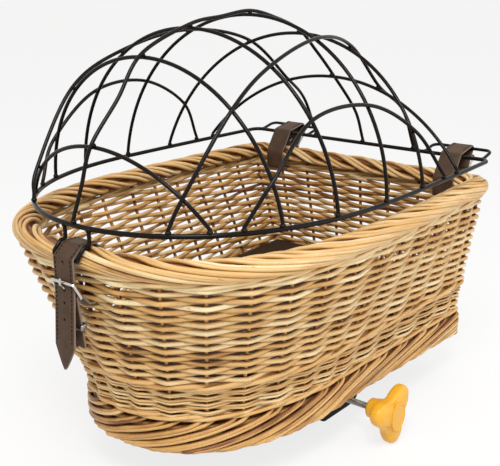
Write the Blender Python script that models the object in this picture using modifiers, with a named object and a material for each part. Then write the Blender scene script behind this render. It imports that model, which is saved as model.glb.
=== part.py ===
"""Rear bicycle basket: a willow basket with a hinged wire dome and a clamp for the luggage rack.

Metres, +Z up. The origin is on the rack: the middle of the clamp channel's underside, under the
clamp's rod. -X is the rounded front with the closing strap, +X the straight back with the hinge
straps, and the clamp's knob is on the -Y side.
"""
import math

import bmesh
import bpy
from mathutils import Matrix, Vector

# Driving sizes of the dome's ring, which every plan outline follows
RING_LENGTH = 0.500
RING_HALF_WIDTH = 0.1885
RING_BACK_HALF_WIDTH = 0.1825
RING_BACK_X = 0.210
RING_CORNER = 0.012
NOSE_HALF_WIDTH = 0.020
ROUND_START_share = 0.5
RING_FULLNESS_share = 2.15

# Heights, from the underside of the foot
FOOT_HEIGHT = 0.032
BAND_HEIGHT = 0.042
WALL_HEIGHT = 0.125
BORDER_HEIGHT = 0.024
RING_RISE = 0.018
DOME_HEIGHT = 0.1825

# Willow shell; each set of offsets from the ring's line is (front, side, side at the back, back)
WALL_THICKNESS = 0.014
BAND_THICKNESS = 0.021
FOOT_THICKNESS = 0.021
FOOT_BULGE = 0.002
FOOT_EDGE = 0.004
BORDER_WIDTH = 0.028
BORDER_OFFSETS = (-0.0025, -0.002, -0.0053, -0.0055)
WALL_BESIDE_BORDER = 0.009
FOOT_OFFSETS = (-0.042, -0.053, -0.014, 0.006)
BORDER_CORNER = 0.030
CORNER_TOP = 0.038
CORNER_FOOT = 0.052
CORNER_LEAST = 0.003
BORDER_FULLNESS_share = 2.67
FOOT_FULLNESS_share = 2.30
LEAN_shares = ((0.0, 1.0), (0.181, 0.98), (0.281, 0.89), (0.382, 0.77), (0.482, 0.65), (0.583, 0.53),
               (0.683, 0.40), (0.784, 0.25), (0.884, 0.11), (1.0, 0.0))
BORDER_FLAT_share = 0.5
BORDER_SIDE_share = 0.42
BOARD_THICKNESS = 0.006

# Clearances
SEAT_GAP = 0.0003
LOOSE_GAP = 0.0006
OVERRUN = 0.004

# Wires of the dome
RING_WIRE = 0.0025
HOOP_WIRE = 0.002
FOOT_STUB = 0.003
HOOP_FOOT_X_shares = (0.187, 0.354, 0.504, 0.657, 0.779, 0.894)
HOOP_CREST_X_shares = (0.157, 0.297, 0.476, 0.667, 0.803, 0.940)
HOOP_CREST_HEIGHT_shares = (0.529, 0.843, 0.982, 0.933, 0.803, 0.377)
RAIL_SPREAD_shares = (0.368, 0.391, 0.488, 0.572, 0.677, 0.809)
RAIL_BACK_FOOT_share = 0.42
RAIL_FRONT_FOOT_X_share = 0.943
RAIL_BACK_KNOT_shares = (0.060, 0.415, 0.310)
SPINE_BACK_KNOT_shares = (0.043, 0.26)
SPINE_FRONT_KNOT_shares = (0.976, 0.19)
SPINE_MID_KNOT_shares = ((0.227, 0.725), (0.387, 0.955), (0.572, 0.985), (0.875, 0.605))
ARCH_BACK_FOOT_X_share = 0.252
ARCH_FRONT_FOOT_X_share = 0.845
ARCH_HEIGHT_shares = (0.279, 0.480, 0.465, 0.213)

# Loops on the ring
HINGE_LOOP_REACH = 0.0275
HINGE_LOOP_RISE = 0.006
HINGE_LOOP_WIDTH = 0.080
HINGE_LOOP_CORNER = 0.008
HINGE_LOOP_INSET = 0.050
CATCH_LOOP_WIDTH = 0.034
CATCH_LOOP_CORNER = 0.003
CATCH_BAR_DROP_share = 0.44

# Leather straps and their buckles
STRAP_WIDTH = 0.028
STRAP_THICKNESS = 0.0025
STRAP_TIP = 0.026
STRAP_DROP = 0.1375
CLOSURE_Y = -0.0037
FLAP_END_REACH = 0.0085
FLAP_END_Z = 0.124
FRONT_SLOT_Z = 0.1665
SLOT_STANDOFF = 0.002
REAR_STRAP_THICKNESS = 0.0022
REAR_TAIL_Z = 0.186
REAR_TIP = 0.012
SLOT_BELOW_BORDER = 0.0065
BUCKLE_WIRE = 0.0015
REAR_BUCKLE_WIRE = 0.0012
BUCKLE_CORNER = 0.002
PRONG_WIRE = 0.0011
REAR_PRONG_WIRE = 0.0009
FRONT_HEEL_Z = 0.1755
FRONT_BAR_Z = 0.191
REAR_HEEL_Z = 0.220
REAR_BAR_Z = 0.238
REAR_FLAP = 0.009
PRONG_CROSS_share = 0.5
PRONG_SLOT_WIDTH = 0.0042
PRONG_SLOT_LENGTH = 0.0095
FOLD_SLOT_LENGTH = 0.012
KEEPER_WIRE = 0.0012
KEEPER_Z = 0.147
STRAP_HOLE = 0.0016
STRAP_HOLE_ABOVE_BAR = (0.0195, -0.021, -0.0375)
RIVET_HEAD = 0.004
RIVET_HEAD_THICKNESS = 0.0012
RIVET_SHANK = 0.0015
RIVET_Z = (0.158, 0.1345)
RIVET_FLAT_share = 0.7
RIVET_RIM_share = 0.3
CREST_LEAVE_DEG = 62.0
REAR_CREST_LEAVE_DEG = 100.0
REAR_CREST_MEET_DEG = 165.0
PRONG_HOOK_DEG = 250.0
PRONG_BACK_WIRES = 3
PRONG_TIP_WIRES = 3
REAR_PRONG_BACK_WIRES = 4
REAR_PRONG_RISE_WIRES = 5
REAR_FOLD_SLOT_DOWN_share = 0.55
REAR_FOLD_SLOT_IN_share = 1.25
REAR_FOLD_SLOT_OUT_share = 1.1

# Clamp under the basket
CHANNEL_WIDTH = 0.050
CHANNEL_LENGTH = 0.230
CHANNEL_SHEET = 0.0025
FLANGE_WIDTH = 0.020
BOLT_X = 0.035
BOLT_INSET = 0.015
BOLT_SHANK = 0.0025
BOLT_HEAD = 0.0065
BOLT_HEAD_THICKNESS = 0.0025
BOLT_FLAT_share = 0.6
BOLT_RIM_share = 0.35
BOLT_TAIL = 0.004
NUT_RADIUS = 0.0055
NUT_THICKNESS = 0.0045
NUT_BORE = 0.0033
ROD_RADIUS = 0.004
ROD_DEPTH = 0.0165
ROD_BORE = 0.0044
ROD_NUT_RADIUS = 0.0065
ROD_NUT_BORE = 0.0051
ROD_NUT_THICKNESS = 0.005
ROD_COLLAR_RADIUS = 0.006
ROD_COLLAR_THICKNESS = 0.0042
ROD_TAIL = 0.006
JAW_LENGTH = 0.078
JAW_HEIGHT = 0.034
JAW_THICKNESS = 0.008
JAW_END_RADIUS = 0.009
JAW_NECK = 0.010
JAW_HEAD_LENGTH = 0.024
JAW_HEAD_WIDTH = 0.012
JAW_HEAD_THICKNESS = 0.0045
LIP_REACH = 0.008
LIP_HEIGHT = 0.005
LIP_LENGTH = 0.014
FIXED_JAW_INSET = 0.036
OPEN_JAW_INSET = 0.0075
JAW_TRAVEL = 0.060
KNOB_RADIUS = 0.038
KNOB_CORE_RADIUS = 0.0215
KNOB_LOBE_POWER_share = 1.35
KNOB_FIRST_LOBE_DEG = 57.0
KNOB_THICKNESS = 0.022
KNOB_EDGE = 0.006
KNOB_HUB_RADIUS = 0.011
KNOB_HUB_LENGTH = 0.015
KNOB_BACK_Y = -0.168
KNOB_BORE_DEPTH = 0.024
CAP_HALF_WIDTH = 0.0115
CAP_HALF_HEIGHT = 0.017
CAP_RISE = 0.0018
CAP_EDGE = 0.0007
KNOB_EDGE_DEPTH_share = 0.3
KNOB_EDGE_IN_share = 0.45

# Mesh counts
BACK_STEPS = 3
CORNER_STEPS = 4
SIDE_STEPS = 5
FRONT_STEPS = 9
WALL_STEPS = 5
RING_FRONT_STEPS = 14
HOOP_STEPS = 18
KNOT_STEPS = 3
ARCH_STEPS = 4
BEND_STEPS = 4
BEVEL_STEPS = 2
TURN_STEPS = 12
LOBE_STEPS = 36
ROD_SIDES = 16
BORE_SIDES = 20
BOLT_HOLE_SIDES = 12
RIVET_SIDES = 10
NUT_SIDES = 6

# Heights that follow
BAND_TOP = FOOT_HEIGHT + BAND_HEIGHT
WALL_TOP = BAND_TOP + WALL_HEIGHT
BORDER_TOP = WALL_TOP + BORDER_HEIGHT
BORDER_MID_Z = WALL_TOP + BORDER_HEIGHT / 2
RING_Z = BORDER_TOP + RING_RISE
FOOT_TOP_Z = RING_Z + RING_WIRE + SEAT_GAP + FOOT_STUB
FRONT, BACK = -1, 1

FRONT_RING_U = RING_LENGTH - RING_BACK_X
BORDER_HALF = BORDER_WIDTH / 2
BORDER_FLAT_HALF = BORDER_HALF * BORDER_FLAT_share
BORDER_SIDE_RISE = BORDER_HEIGHT / 2 * BORDER_SIDE_share
FRONT_BORDER_U = FRONT_RING_U + BORDER_OFFSETS[0]
BACK_BORDER_U = RING_BACK_X + BORDER_OFFSETS[3]
HINGE_X = RING_BACK_X + HINGE_LOOP_REACH
HINGE_Z = RING_Z + HINGE_LOOP_RISE
HINGE_LOOP_Y = RING_BACK_HALF_WIDTH - HINGE_LOOP_INSET
FLAP_END_U = FRONT_RING_U + FLAP_END_REACH
BOLT_Y = CHANNEL_LENGTH / 2 - BOLT_INSET
FIXED_JAW_Y = CHANNEL_LENGTH / 2 - FIXED_JAW_INSET
OPEN_JAW_Y = OPEN_JAW_INSET - CHANNEL_LENGTH / 2
ROD_Z = -ROD_DEPTH


def new_collection(name):
    """Make a collection in the scene."""
    collection = bpy.data.collections.new(name)
    bpy.context.scene.collection.children.link(collection)
    return collection


def make_material(piece, look):
    """Make a piece's own Principled material from a look."""
    name, colour, roughness, metallic = look
    material = bpy.data.materials.new(f"{name} {piece}")
    material.use_nodes = True
    shader = material.node_tree.nodes["Principled BSDF"]
    shader.inputs["Base Color"].default_value = (*colour, 1.0)
    shader.inputs["Roughness"].default_value = roughness
    shader.inputs["Metallic"].default_value = metallic
    material.diffuse_color = (*colour, 1.0)
    return material


for old in list(bpy.data.objects):
    bpy.data.objects.remove(old, do_unlink=True)
PARTS = new_collection("rear_basket")
CUTTERS = new_collection("cutters")
# Looks: name, linear colour, roughness, metallic
WILLOW = ("peeled willow", (0.62, 0.42, 0.17), 0.55, 0.0)
WILLOW_BAND = ("pale willow", (0.68, 0.50, 0.24), 0.55, 0.0)
BOARD = ("dark stained board", (0.035, 0.027, 0.022), 0.6, 0.0)
COATED_WIRE = ("coated steel wire", (0.020, 0.016, 0.014), 0.35, 0.0)
LEATHER = ("dark brown leather", (0.060, 0.036, 0.028), 0.5, 0.0)
NICKEL = ("nickel-plated steel", (0.62, 0.60, 0.56), 0.25, 1.0)
BLACK_STEEL = ("black-coated steel", (0.008, 0.007, 0.007), 0.35, 0.0)
ZINC = ("zinc-plated steel", (0.50, 0.48, 0.45), 0.35, 1.0)
YELLOW = ("yellow moulded plastic", (0.92, 0.45, 0.012), 0.4, 0.0)


def add_mesh(name, mesh, look, collection=None):
    """Put a mesh in the scene as a named object."""
    mesh.name = name
    thing = bpy.data.objects.new(name, mesh)
    mesh.materials.append(make_material(name, look))
    (collection or PARTS).objects.link(thing)
    return thing


def from_bmesh(name, shape, look, collection=None):
    """Turn a bmesh into a named object with its faces pointing out."""
    bmesh.ops.recalc_face_normals(shape, faces=shape.faces)
    mesh = bpy.data.meshes.new(name)
    shape.to_mesh(mesh)
    shape.free()
    return add_mesh(name, mesh, look, collection)


def smooth_sides(thing, degrees=40.0):
    """Shade round faces smooth and keep real corners sharp."""
    thing.data.shade_smooth()
    thing.data.set_sharp_from_angle(angle=math.radians(degrees))
    return thing


def as_cutter(thing):
    """Show an object only as a wire outline, since it cuts and is not built."""
    thing.hide_render = True
    thing.display_type = "WIRE"
    return thing


def cut(thing, cutter):
    """Take a cutter's shape out of an object."""
    boolean = thing.modifiers.new("cut " + cutter.name, "BOOLEAN")
    boolean.operation = "DIFFERENCE"
    boolean.object = cutter
    return thing


def box(name, low, high, look=BLACK_STEEL, collection=None):
    """A block between two corners."""
    shape = bmesh.new()
    bmesh.ops.create_cube(shape, size=1.0)
    size = Vector(high) - Vector(low)
    middle = (Vector(high) + Vector(low)) / 2
    bmesh.ops.scale(shape, vec=size, verts=shape.verts)
    bmesh.ops.translate(shape, vec=middle, verts=shape.verts)
    return from_bmesh(name, shape, look, collection)


def rod_between(name, start, end, radius, look=BLACK_STEEL, collection=None, sides=ROD_SIDES):
    """A round bar between two points."""
    start, end = Vector(start), Vector(end)
    run = end - start
    shape = bmesh.new()
    turn = run.to_track_quat("Z", "Y").to_matrix().to_4x4()
    bmesh.ops.create_cone(shape, cap_ends=True, segments=sides, radius1=radius, radius2=radius,
                          depth=run.length, matrix=Matrix.Translation((start + end) / 2) @ turn)
    return smooth_sides(from_bmesh(name, shape, look, collection))


def turned(name, profile, place, direction, look, steps=TURN_STEPS):
    """A turned piece: (radius, height) pairs from the top down, spun round its own axis.

    A profile that starts off the axis is closed on itself and makes a ring.
    """
    mesh = bpy.data.meshes.new(name)
    count = len(profile)
    edges = [(i, (i + 1) % count) for i in range(count if profile[0][0] else count - 1)]
    mesh.from_pydata([(radius, 0.0, height) for radius, height in profile], edges, [])
    thing = add_mesh(name, mesh, look)
    screw = thing.modifiers.new("turn", "SCREW")
    screw.steps = screw.render_steps = steps
    screw.use_merge_vertices = True
    screw.merge_threshold = 0.00001
    thing.matrix_world = Matrix.Translation(place) @ Vector(direction).to_track_quat("Z", "Y").to_matrix().to_4x4()
    return thing


def turned_ring(name, outer, bore, thickness, place, direction, look, steps=TURN_STEPS):
    """A washer, collar or nut: a ring round its axis, its first face at the place given."""
    profile = [(bore, thickness), (outer, thickness), (outer, 0.0), (bore, 0.0)]
    return turned(name, profile, place, direction, look, steps)


def tube(name, points, radius, look, cyclic=False, resolution=1):
    """A wire through points."""
    curve = bpy.data.curves.new(name, "CURVE")
    curve.dimensions = "3D"
    curve.bevel_depth = radius
    curve.bevel_resolution = resolution
    curve.use_fill_caps = True
    spline = curve.splines.new("POLY")
    spline.points.add(len(points) - 1)
    for point, place in zip(spline.points, points):
        point.co = (*place, 1.0)
    spline.use_cyclic_u = cyclic
    curve.materials.append(make_material(name, look))
    thing = bpy.data.objects.new(name, curve)
    PARTS.objects.link(thing)
    return thing


def flowing(knots, steps=KNOT_STEPS):
    """Points on a smooth curve that passes through all the knots."""
    knots = [Vector(knot) for knot in knots]
    ends = [2 * knots[0] - knots[1], *knots, 2 * knots[-1] - knots[-2]]
    points = []
    for a, b, c, d in zip(ends, ends[1:], ends[2:], ends[3:]):
        for i in range(steps):
            t = i / steps
            points.append(0.5 * (2 * b + (c - a) * t + (2 * a - 5 * b + 4 * c - d) * t ** 2
                                 + (3 * b - a - 3 * c + d) * t ** 3))
    points.append(knots[-1])
    return points


def rounded(corners, radius, cyclic=False):
    """Points along straight runs whose corners are turned with a radius."""
    corners = [Vector(corner) for corner in corners]
    count = len(corners)
    points = []
    for i, corner in enumerate(corners):
        if not cyclic and i in (0, count - 1):
            points.append(corner)
            continue
        before = (corners[i - 1] - corner).normalized()
        after = (corners[(i + 1) % count] - corner).normalized()
        half = before.angle(after) / 2
        reach = radius / math.tan(half)
        centre = corner + (before + after).normalized() * (radius / math.sin(half))
        first = corner + before * reach - centre
        last = corner + after * reach - centre
        sweep = first.angle(last)
        for step in range(BEND_STEPS + 1):
            share = step / BEND_STEPS
            mixed = first * math.sin((1 - share) * sweep) + last * math.sin(share * sweep)
            points.append(centre + mixed / math.sin(sweep))
    return points


def ring_x(share):
    """X of a place that lies this share of the ring's length from its back."""
    return RING_BACK_X - RING_LENGTH * share


def ring_half_width(share):
    """Half width of the ring at a share of its length from the back."""
    if share <= ROUND_START_share:
        swell = math.sin(math.pi / 2 * share / ROUND_START_share)
        return RING_BACK_HALF_WIDTH + (RING_HALF_WIDTH - RING_BACK_HALF_WIDTH) * swell
    reach = (share - ROUND_START_share) / (1 - ROUND_START_share)
    return RING_HALF_WIDTH * (1 - min(reach, 1.0) ** RING_FULLNESS_share) ** (1 / RING_FULLNESS_share)


def plan_outline(offsets, corner, fullness, front_steps=FRONT_STEPS):
    """Closed plan outline that stands off the ring's line, with its nose flat under the closing strap."""
    front, side, side_back, back = offsets
    back_x = RING_BACK_X + back
    back_width = RING_BACK_HALF_WIDTH + side_back
    full_width = RING_HALF_WIDTH + side
    middle_x = ring_x(ROUND_START_share)
    reach = RING_LENGTH * (1 - ROUND_START_share) + front
    half = [(back_x, (back_width - corner) * i / BACK_STEPS) for i in range(BACK_STEPS)]
    for i in range(CORNER_STEPS + 1):
        angle = math.pi / 2 * i / CORNER_STEPS
        half.append((back_x - corner + corner * math.cos(angle), back_width - corner + corner * math.sin(angle)))
    for i in range(1, SIDE_STEPS):
        share = i / SIDE_STEPS
        x = (back_x - corner) * (1 - share) + middle_x * share
        half.append((x, back_width + (full_width - back_width) * math.sin(math.pi / 2 * share)))
    for i in range(front_steps):
        angle = math.pi / 2 * i / front_steps
        half.append((middle_x - reach * math.sin(angle) ** (2 / fullness),
                     full_width * math.cos(angle) ** (2 / fullness)))
    half += [(middle_x - reach, NOSE_HALF_WIDTH), (middle_x - reach, 0.0)]
    return half + [(x, -y) for x, y in reversed(half[1:-1])]


def lean(z):
    """How far the willow wall has leant in at a height: 0 at its top, 1 at the foot."""
    share = min(max(z / WALL_TOP, 0.0), 1.0)
    for (low, low_lean), (high, high_lean) in zip(LEAN_shares, LEAN_shares[1:]):
        if share <= high:
            return low_lean + (high_lean - low_lean) * (share - low) / (high - low)
    return 0.0


def wall_line(z, inward=0.0):
    """Offsets, corner radius and fullness of the wall's outer face at a height."""
    share = lean(z)
    offsets = tuple((top + WALL_BESIDE_BORDER) * (1 - share) + foot * share - inward
                    for top, foot in zip(BORDER_OFFSETS, FOOT_OFFSETS))
    corner = CORNER_TOP + (CORNER_FOOT - CORNER_TOP) * share - inward
    fullness = BORDER_FULLNESS_share + (FOOT_FULLNESS_share - BORDER_FULLNESS_share) * share
    return offsets, max(corner, CORNER_LEAST), fullness


def loft_ring(name, section, look):
    """A closed band round the basket, lofted through (outline line, height) pairs."""
    shape = bmesh.new()
    rows = [[shape.verts.new((x, y, z)) for x, y in plan_outline(*line)] for line, z in section]
    for row, following in zip(rows, rows[1:] + rows[:1]):
        count = len(row)
        for i in range(count):
            j = (i + 1) % count
            shape.faces.new((row[i], row[j], following[j], following[i]))
    return smooth_sides(from_bmesh(name, shape, look))


def face_u(side, z, inward=0.0):
    """Distance of the wall's face from the origin, at the middle of its front or back."""
    offsets = wall_line(z, inward)[0]
    if side == FRONT:
        return FRONT_RING_U + offsets[0]
    return RING_BACK_X + offsets[3]


def ribbon(name, path, side, middle_y, width, thickness, look=LEATHER, tip=0.0):
    """A flat strap: its middle line in (u, z), swept over its width and given its thickness."""
    shape = bmesh.new()
    rows = []
    for u, z in path:
        rows.append([shape.verts.new((side * u, middle_y + y, z)) for y in (-width / 2, width / 2)])
    for row, following in zip(rows, rows[1:]):
        shape.faces.new((row[0], row[1], following[1], following[0]))
    if tip:
        u, z = path[-1]
        point = shape.verts.new((side * u, middle_y, z - tip))
        shape.faces.new((rows[-1][0], rows[-1][1], point))
    thing = from_bmesh(name, shape, look)
    solidify = thing.modifiers.new("thickness", "SOLIDIFY")
    solidify.thickness = thickness
    solidify.offset = 0.0
    solidify.use_even_offset = True
    return thing


def arc(centre, radius, start_deg, end_deg, steps=BEND_STEPS):
    """Points on an arc in (u, z); zero degrees points outward and ninety up."""
    points = []
    for i in range(steps + 1):
        angle = math.radians(start_deg + (end_deg - start_deg) * i / steps)
        points.append((centre[0] + radius * math.cos(angle), centre[1] + radius * math.sin(angle)))
    return points


def build_willow():
    """Foot, lower band, wall and plaited border, each a closed ring of the basket."""
    top = FOOT_HEIGHT
    loft_ring("wicker_foot", [(wall_line(0.0, FOOT_EDGE - FOOT_BULGE), 0.0),
                              (wall_line(FOOT_EDGE, -FOOT_BULGE), FOOT_EDGE),
                              (wall_line(top - FOOT_EDGE, -FOOT_BULGE), top - FOOT_EDGE),
                              (wall_line(top, FOOT_EDGE - FOOT_BULGE), top),
                              (wall_line(top, FOOT_THICKNESS), top), (wall_line(0.0, FOOT_THICKNESS), 0.0)], WILLOW)
    low, high = FOOT_HEIGHT + SEAT_GAP, BAND_TOP - SEAT_GAP
    loft_ring("wicker_band", [(wall_line(low), low), (wall_line(high), high),
                              (wall_line(high, BAND_THICKNESS), high), (wall_line(low, BAND_THICKNESS), low)],
              WILLOW_BAND)
    heights = [BAND_TOP + WALL_HEIGHT * i / WALL_STEPS for i in range(WALL_STEPS + 1)]
    wall = loft_ring("wicker_wall", [(wall_line(z), z) for z in heights]
                     + [(wall_line(z, WALL_THICKNESS), z) for z in reversed(heights)], WILLOW)
    section = []
    up, side = BORDER_HEIGHT / 2, BORDER_SIDE_RISE
    for across, rise in ((BORDER_FLAT_HALF, -up), (BORDER_HALF, -side), (BORDER_HALF, side),
                         (BORDER_FLAT_HALF, up), (-BORDER_FLAT_HALF, up), (-BORDER_HALF, side),
                         (-BORDER_HALF, -side), (-BORDER_FLAT_HALF, -up)):
        offsets = tuple(offset + across for offset in BORDER_OFFSETS)
        z = BORDER_MID_Z + rise + (SEAT_GAP if rise < 0 else 0.0)
        section.append(((offsets, BORDER_CORNER + across, BORDER_FULLNESS_share), z))
    loft_ring("wicker_border", section, WILLOW)
    return wall


def build_floor_board():
    """The stiff floor, which lies on the lower band's ledge."""
    line = wall_line(BAND_TOP, WALL_THICKNESS + LOOSE_GAP)
    curve = bpy.data.curves.new("floor_board", "CURVE")
    curve.dimensions = "2D"
    curve.fill_mode = "BOTH"
    curve.extrude = BOARD_THICKNESS / 2
    spline = curve.splines.new("POLY")
    outline = plan_outline(*line)
    spline.points.add(len(outline) - 1)
    for point, (x, y) in zip(spline.points, outline):
        point.co = (x, y, 0.0, 1.0)
    spline.use_cyclic_u = True
    flat = bpy.data.objects.new("floor outline", curve)
    PARTS.objects.link(flat)
    flat.location.z = BAND_TOP + BOARD_THICKNESS / 2
    bpy.context.view_layer.update()
    graph = bpy.context.evaluated_depsgraph_get()
    mesh = bpy.data.meshes.new_from_object(flat.evaluated_get(graph))
    shape = bmesh.new()
    shape.from_mesh(mesh)
    bmesh.ops.remove_doubles(shape, verts=shape.verts, dist=0.00001)
    shape.to_mesh(mesh)
    shape.free()
    mesh.materials.clear()
    board = add_mesh("floor_board", mesh, BOARD)
    board.matrix_world = flat.matrix_world.copy()
    bpy.data.objects.remove(flat, do_unlink=True)
    return board


def hoop_arc(i):
    """Rise, radius and half angle of a cross hoop, which is one round arc that stands on the ring."""
    half_width = ring_half_width(HOOP_FOOT_X_shares[i])
    rise = RING_Z + DOME_HEIGHT * HOOP_CREST_HEIGHT_shares[i] - FOOT_TOP_Z
    radius = (half_width ** 2 + rise ** 2) / (2 * rise)
    return rise, radius, math.atan2(half_width, radius - rise)


def on_hoop(i, angle, hand=1):
    """A place on a cross hoop, this angle of its arc down from its crest."""
    rise, radius, _ = hoop_arc(i)
    foot_x, crest_x = ring_x(HOOP_FOOT_X_shares[i]), ring_x(HOOP_CREST_X_shares[i])
    climb = rise - radius * (1 - math.cos(angle))
    return Vector((foot_x + (crest_x - foot_x) * climb / rise, hand * radius * math.sin(angle), FOOT_TOP_Z + climb))


def along_hoop(i, angle, hand=1):
    """A cross hoop's direction at a place on it."""
    rise, radius, _ = hoop_arc(i)
    lean_x = ring_x(HOOP_CREST_X_shares[i]) - ring_x(HOOP_FOOT_X_shares[i])
    climb = radius * math.sin(angle)
    return Vector((lean_x * climb / rise, -hand * radius * math.cos(angle), climb))


def laid_over(knots, hoops):
    """Lift a wire's knots off the hoops it crosses, so that the two wires lie on each other."""
    lifted = list(knots)
    for place, direction in hoops.items():
        run = knots[place + 1] - knots[place - 1]
        normal = run.cross(direction).normalized()
        if normal.z < 0:
            normal = -normal
        lifted[place] = knots[place] + normal * (2 * HOOP_WIRE + SEAT_GAP)
    return lifted


def with_feet(points, ends=(True, True)):
    """A wire's points with a short upright stub at the ends that stand on the ring."""
    drop = Vector((0.0, 0.0, FOOT_STUB))
    start = [points[0] - drop] if ends[0] else []
    end = [points[-1] - drop] if ends[1] else []
    return start + list(points) + end


def ring_foot(share, hand):
    """Top of a wire's stub on the ring's side, at a share of the ring's length."""
    return Vector((ring_x(share), hand * ring_half_width(share), FOOT_TOP_Z))


def build_dome_wires():
    """Ring, cross hoops, spine, two long rails and two side arches of the dome."""
    outline = plan_outline((0.0, 0.0, 0.0, 0.0), RING_CORNER, RING_FULLNESS_share, RING_FRONT_STEPS)
    tube("dome_ring", [(x, y, RING_Z) for x, y in outline], RING_WIRE, COATED_WIRE, True, 2)
    count = len(HOOP_FOOT_X_shares)
    for i in range(count):
        reach = hoop_arc(i)[-1]
        points = [on_hoop(i, reach * (1 - 2 * step / HOOP_STEPS)) for step in range(HOOP_STEPS + 1)]
        tube(f"dome_hoop_{i + 1}", with_feet(points), HOOP_WIRE, COATED_WIRE)
    shares = [(x, z, True) for x, z in zip(HOOP_CREST_X_shares, HOOP_CREST_HEIGHT_shares)]
    shares += [(x, z, False) for x, z in (*SPINE_MID_KNOT_shares, SPINE_BACK_KNOT_shares, SPINE_FRONT_KNOT_shares)]
    shares.sort()
    knots = [Vector((ring_x(0.0), 0.0, FOOT_TOP_Z))]
    knots += [Vector((ring_x(x), 0.0, RING_Z + DOME_HEIGHT * z)) for x, z, _ in shares]
    knots.append(Vector((ring_x(1.0), 0.0, FOOT_TOP_Z)))
    crossed = {place: Vector((0.0, 1.0, 0.0)) for place, share in enumerate(shares, 1) if share[2]}
    tube("dome_spine", with_feet(flowing(laid_over(knots, crossed), 2)), HOOP_WIRE, COATED_WIRE, resolution=2)
    for hand, word in ((-1, "right"), (1, "left")):
        x_share, spread, height = RAIL_BACK_KNOT_shares
        knots = [Vector((ring_x(0.0), hand * RING_BACK_HALF_WIDTH * RAIL_BACK_FOOT_share, FOOT_TOP_Z)),
                 Vector((ring_x(x_share), hand * RING_BACK_HALF_WIDTH * spread, RING_Z + DOME_HEIGHT * height))]
        angles = [math.asin(spread * math.sin(hoop_arc(i)[-1])) for i, spread in enumerate(RAIL_SPREAD_shares)]
        knots += [on_hoop(i, angle, hand) for i, angle in enumerate(angles)]
        knots.append(ring_foot(RAIL_FRONT_FOOT_X_share, hand))
        crossed = {i + 2: along_hoop(i, angle, hand) for i, angle in enumerate(angles)}
        tube(f"dome_rail_{word}", with_feet(flowing(laid_over(knots, crossed))), HOOP_WIRE, COATED_WIRE)
        build_side_arch(hand, word)


def build_side_arch(hand, word):
    """A low side arch that lies outside the hoops it crosses, which start at the second."""
    knots = [ring_foot(ARCH_BACK_FOOT_X_share, hand)]
    crossed = {}
    for i, share in enumerate(ARCH_HEIGHT_shares, 1):
        rise, radius, _ = hoop_arc(i)
        angle = math.acos(1 - (rise - share * DOME_HEIGHT) / radius)
        crossed[i] = along_hoop(i, angle, hand)
        knots.append(on_hoop(i, angle, hand))
    knots.append(ring_foot(ARCH_FRONT_FOOT_X_share, hand))
    tube(f"dome_arch_{word}", with_feet(flowing(laid_over(knots, crossed), ARCH_STEPS)), HOOP_WIRE, COATED_WIRE)


def build_loops():
    """Two hinge loops on the ring's back and the catch loop on its front."""
    start_x = RING_BACK_X + RING_WIRE + SEAT_GAP
    for hand, word in ((-1, "right"), (1, "left")):
        sides = [hand * HINGE_LOOP_Y + s * HINGE_LOOP_WIDTH / 2 for s in (-1, 1)]
        corners = [(start_x, sides[0], RING_Z), (HINGE_X, sides[0], HINGE_Z),
                   (HINGE_X, sides[1], HINGE_Z), (start_x, sides[1], RING_Z)]
        tube(f"hinge_loop_{word}", rounded(corners, HINGE_LOOP_CORNER), HOOP_WIRE, COATED_WIRE, resolution=2)
    clear = HOOP_WIRE + 2 * SEAT_GAP
    over = BORDER_TOP + clear
    bar_u, bar_z = catch_bar()
    ring_u = FRONT_RING_U
    leg = [(ring_u, RING_Z - RING_WIRE - SEAT_GAP), (ring_u, over + HOOP_WIRE),
           (ring_u + HOOP_WIRE, over), *border_shoulder(clear)]
    half = CATCH_LOOP_WIDTH / 2
    near = [Vector((-u, CLOSURE_Y - half, z)) for u, z in leg]
    far = [Vector((-u, CLOSURE_Y + half, z)) for u, z in reversed(leg)]
    bar = rounded([near[-1], (-bar_u, CLOSURE_Y - half, bar_z), (-bar_u, CLOSURE_Y + half, bar_z), far[0]],
                  CATCH_LOOP_CORNER)
    tube("catch_loop", near[:-1] + bar + far[1:], HOOP_WIRE, COATED_WIRE, resolution=2)


def border_shoulder(clear):
    """The two corners of a line that clears the border's outer shoulder, in (u, z)."""
    turn = clear * math.tan(math.pi / 8)
    return [(FRONT_BORDER_U + BORDER_FLAT_HALF + turn, BORDER_TOP + clear),
            (FRONT_BORDER_U + BORDER_HALF + clear, BORDER_MID_Z + BORDER_SIDE_RISE + turn)]


def catch_bar():
    """Middle of the catch loop's crossbar, just outside the border, in (u, z)."""
    return (FRONT_BORDER_U + BORDER_HALF + HOOP_WIRE + 2 * SEAT_GAP,
            BORDER_MID_Z + BORDER_HEIGHT / 2 * (1 - 2 * CATCH_BAR_DROP_share))


def buckle(name, heel, bar, middle_y, side, wire):
    """A buckle's frame: a rounded oblong of wire between its heel bar and its front bar."""
    half_width = STRAP_WIDTH / 2 + LOOSE_GAP + wire
    corners = [(side * u, middle_y + hand * half_width, z)
               for (u, z), hand in ((heel, -1), (bar, -1), (bar, 1), (heel, 1))]
    return tube(name, rounded(corners, BUCKLE_CORNER, True), wire, NICKEL, True, 2)


def prong(name, heel, route, wire, bar_wire, middle_y, side):
    """A buckle's prong: it hooks round the heel bar and runs out along its route."""
    hook = arc(heel, bar_wire + wire + SEAT_GAP, PRONG_HOOK_DEG, 0.0, 2 * BEND_STEPS)
    return tube(name, [(side * u, middle_y, z) for u, z in hook + route], wire, NICKEL, resolution=1)


def strap_slot(name, side, middle_y, low, high, u_low, u_high, width=PRONG_SLOT_WIDTH):
    """A cutter for a slot through a strap."""
    ends = sorted((side * u_low, side * u_high))
    return as_cutter(box(name, (ends[0], middle_y - width / 2, low), (ends[1], middle_y + width / 2, high),
                         BLACK_STEEL, CUTTERS))


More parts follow.
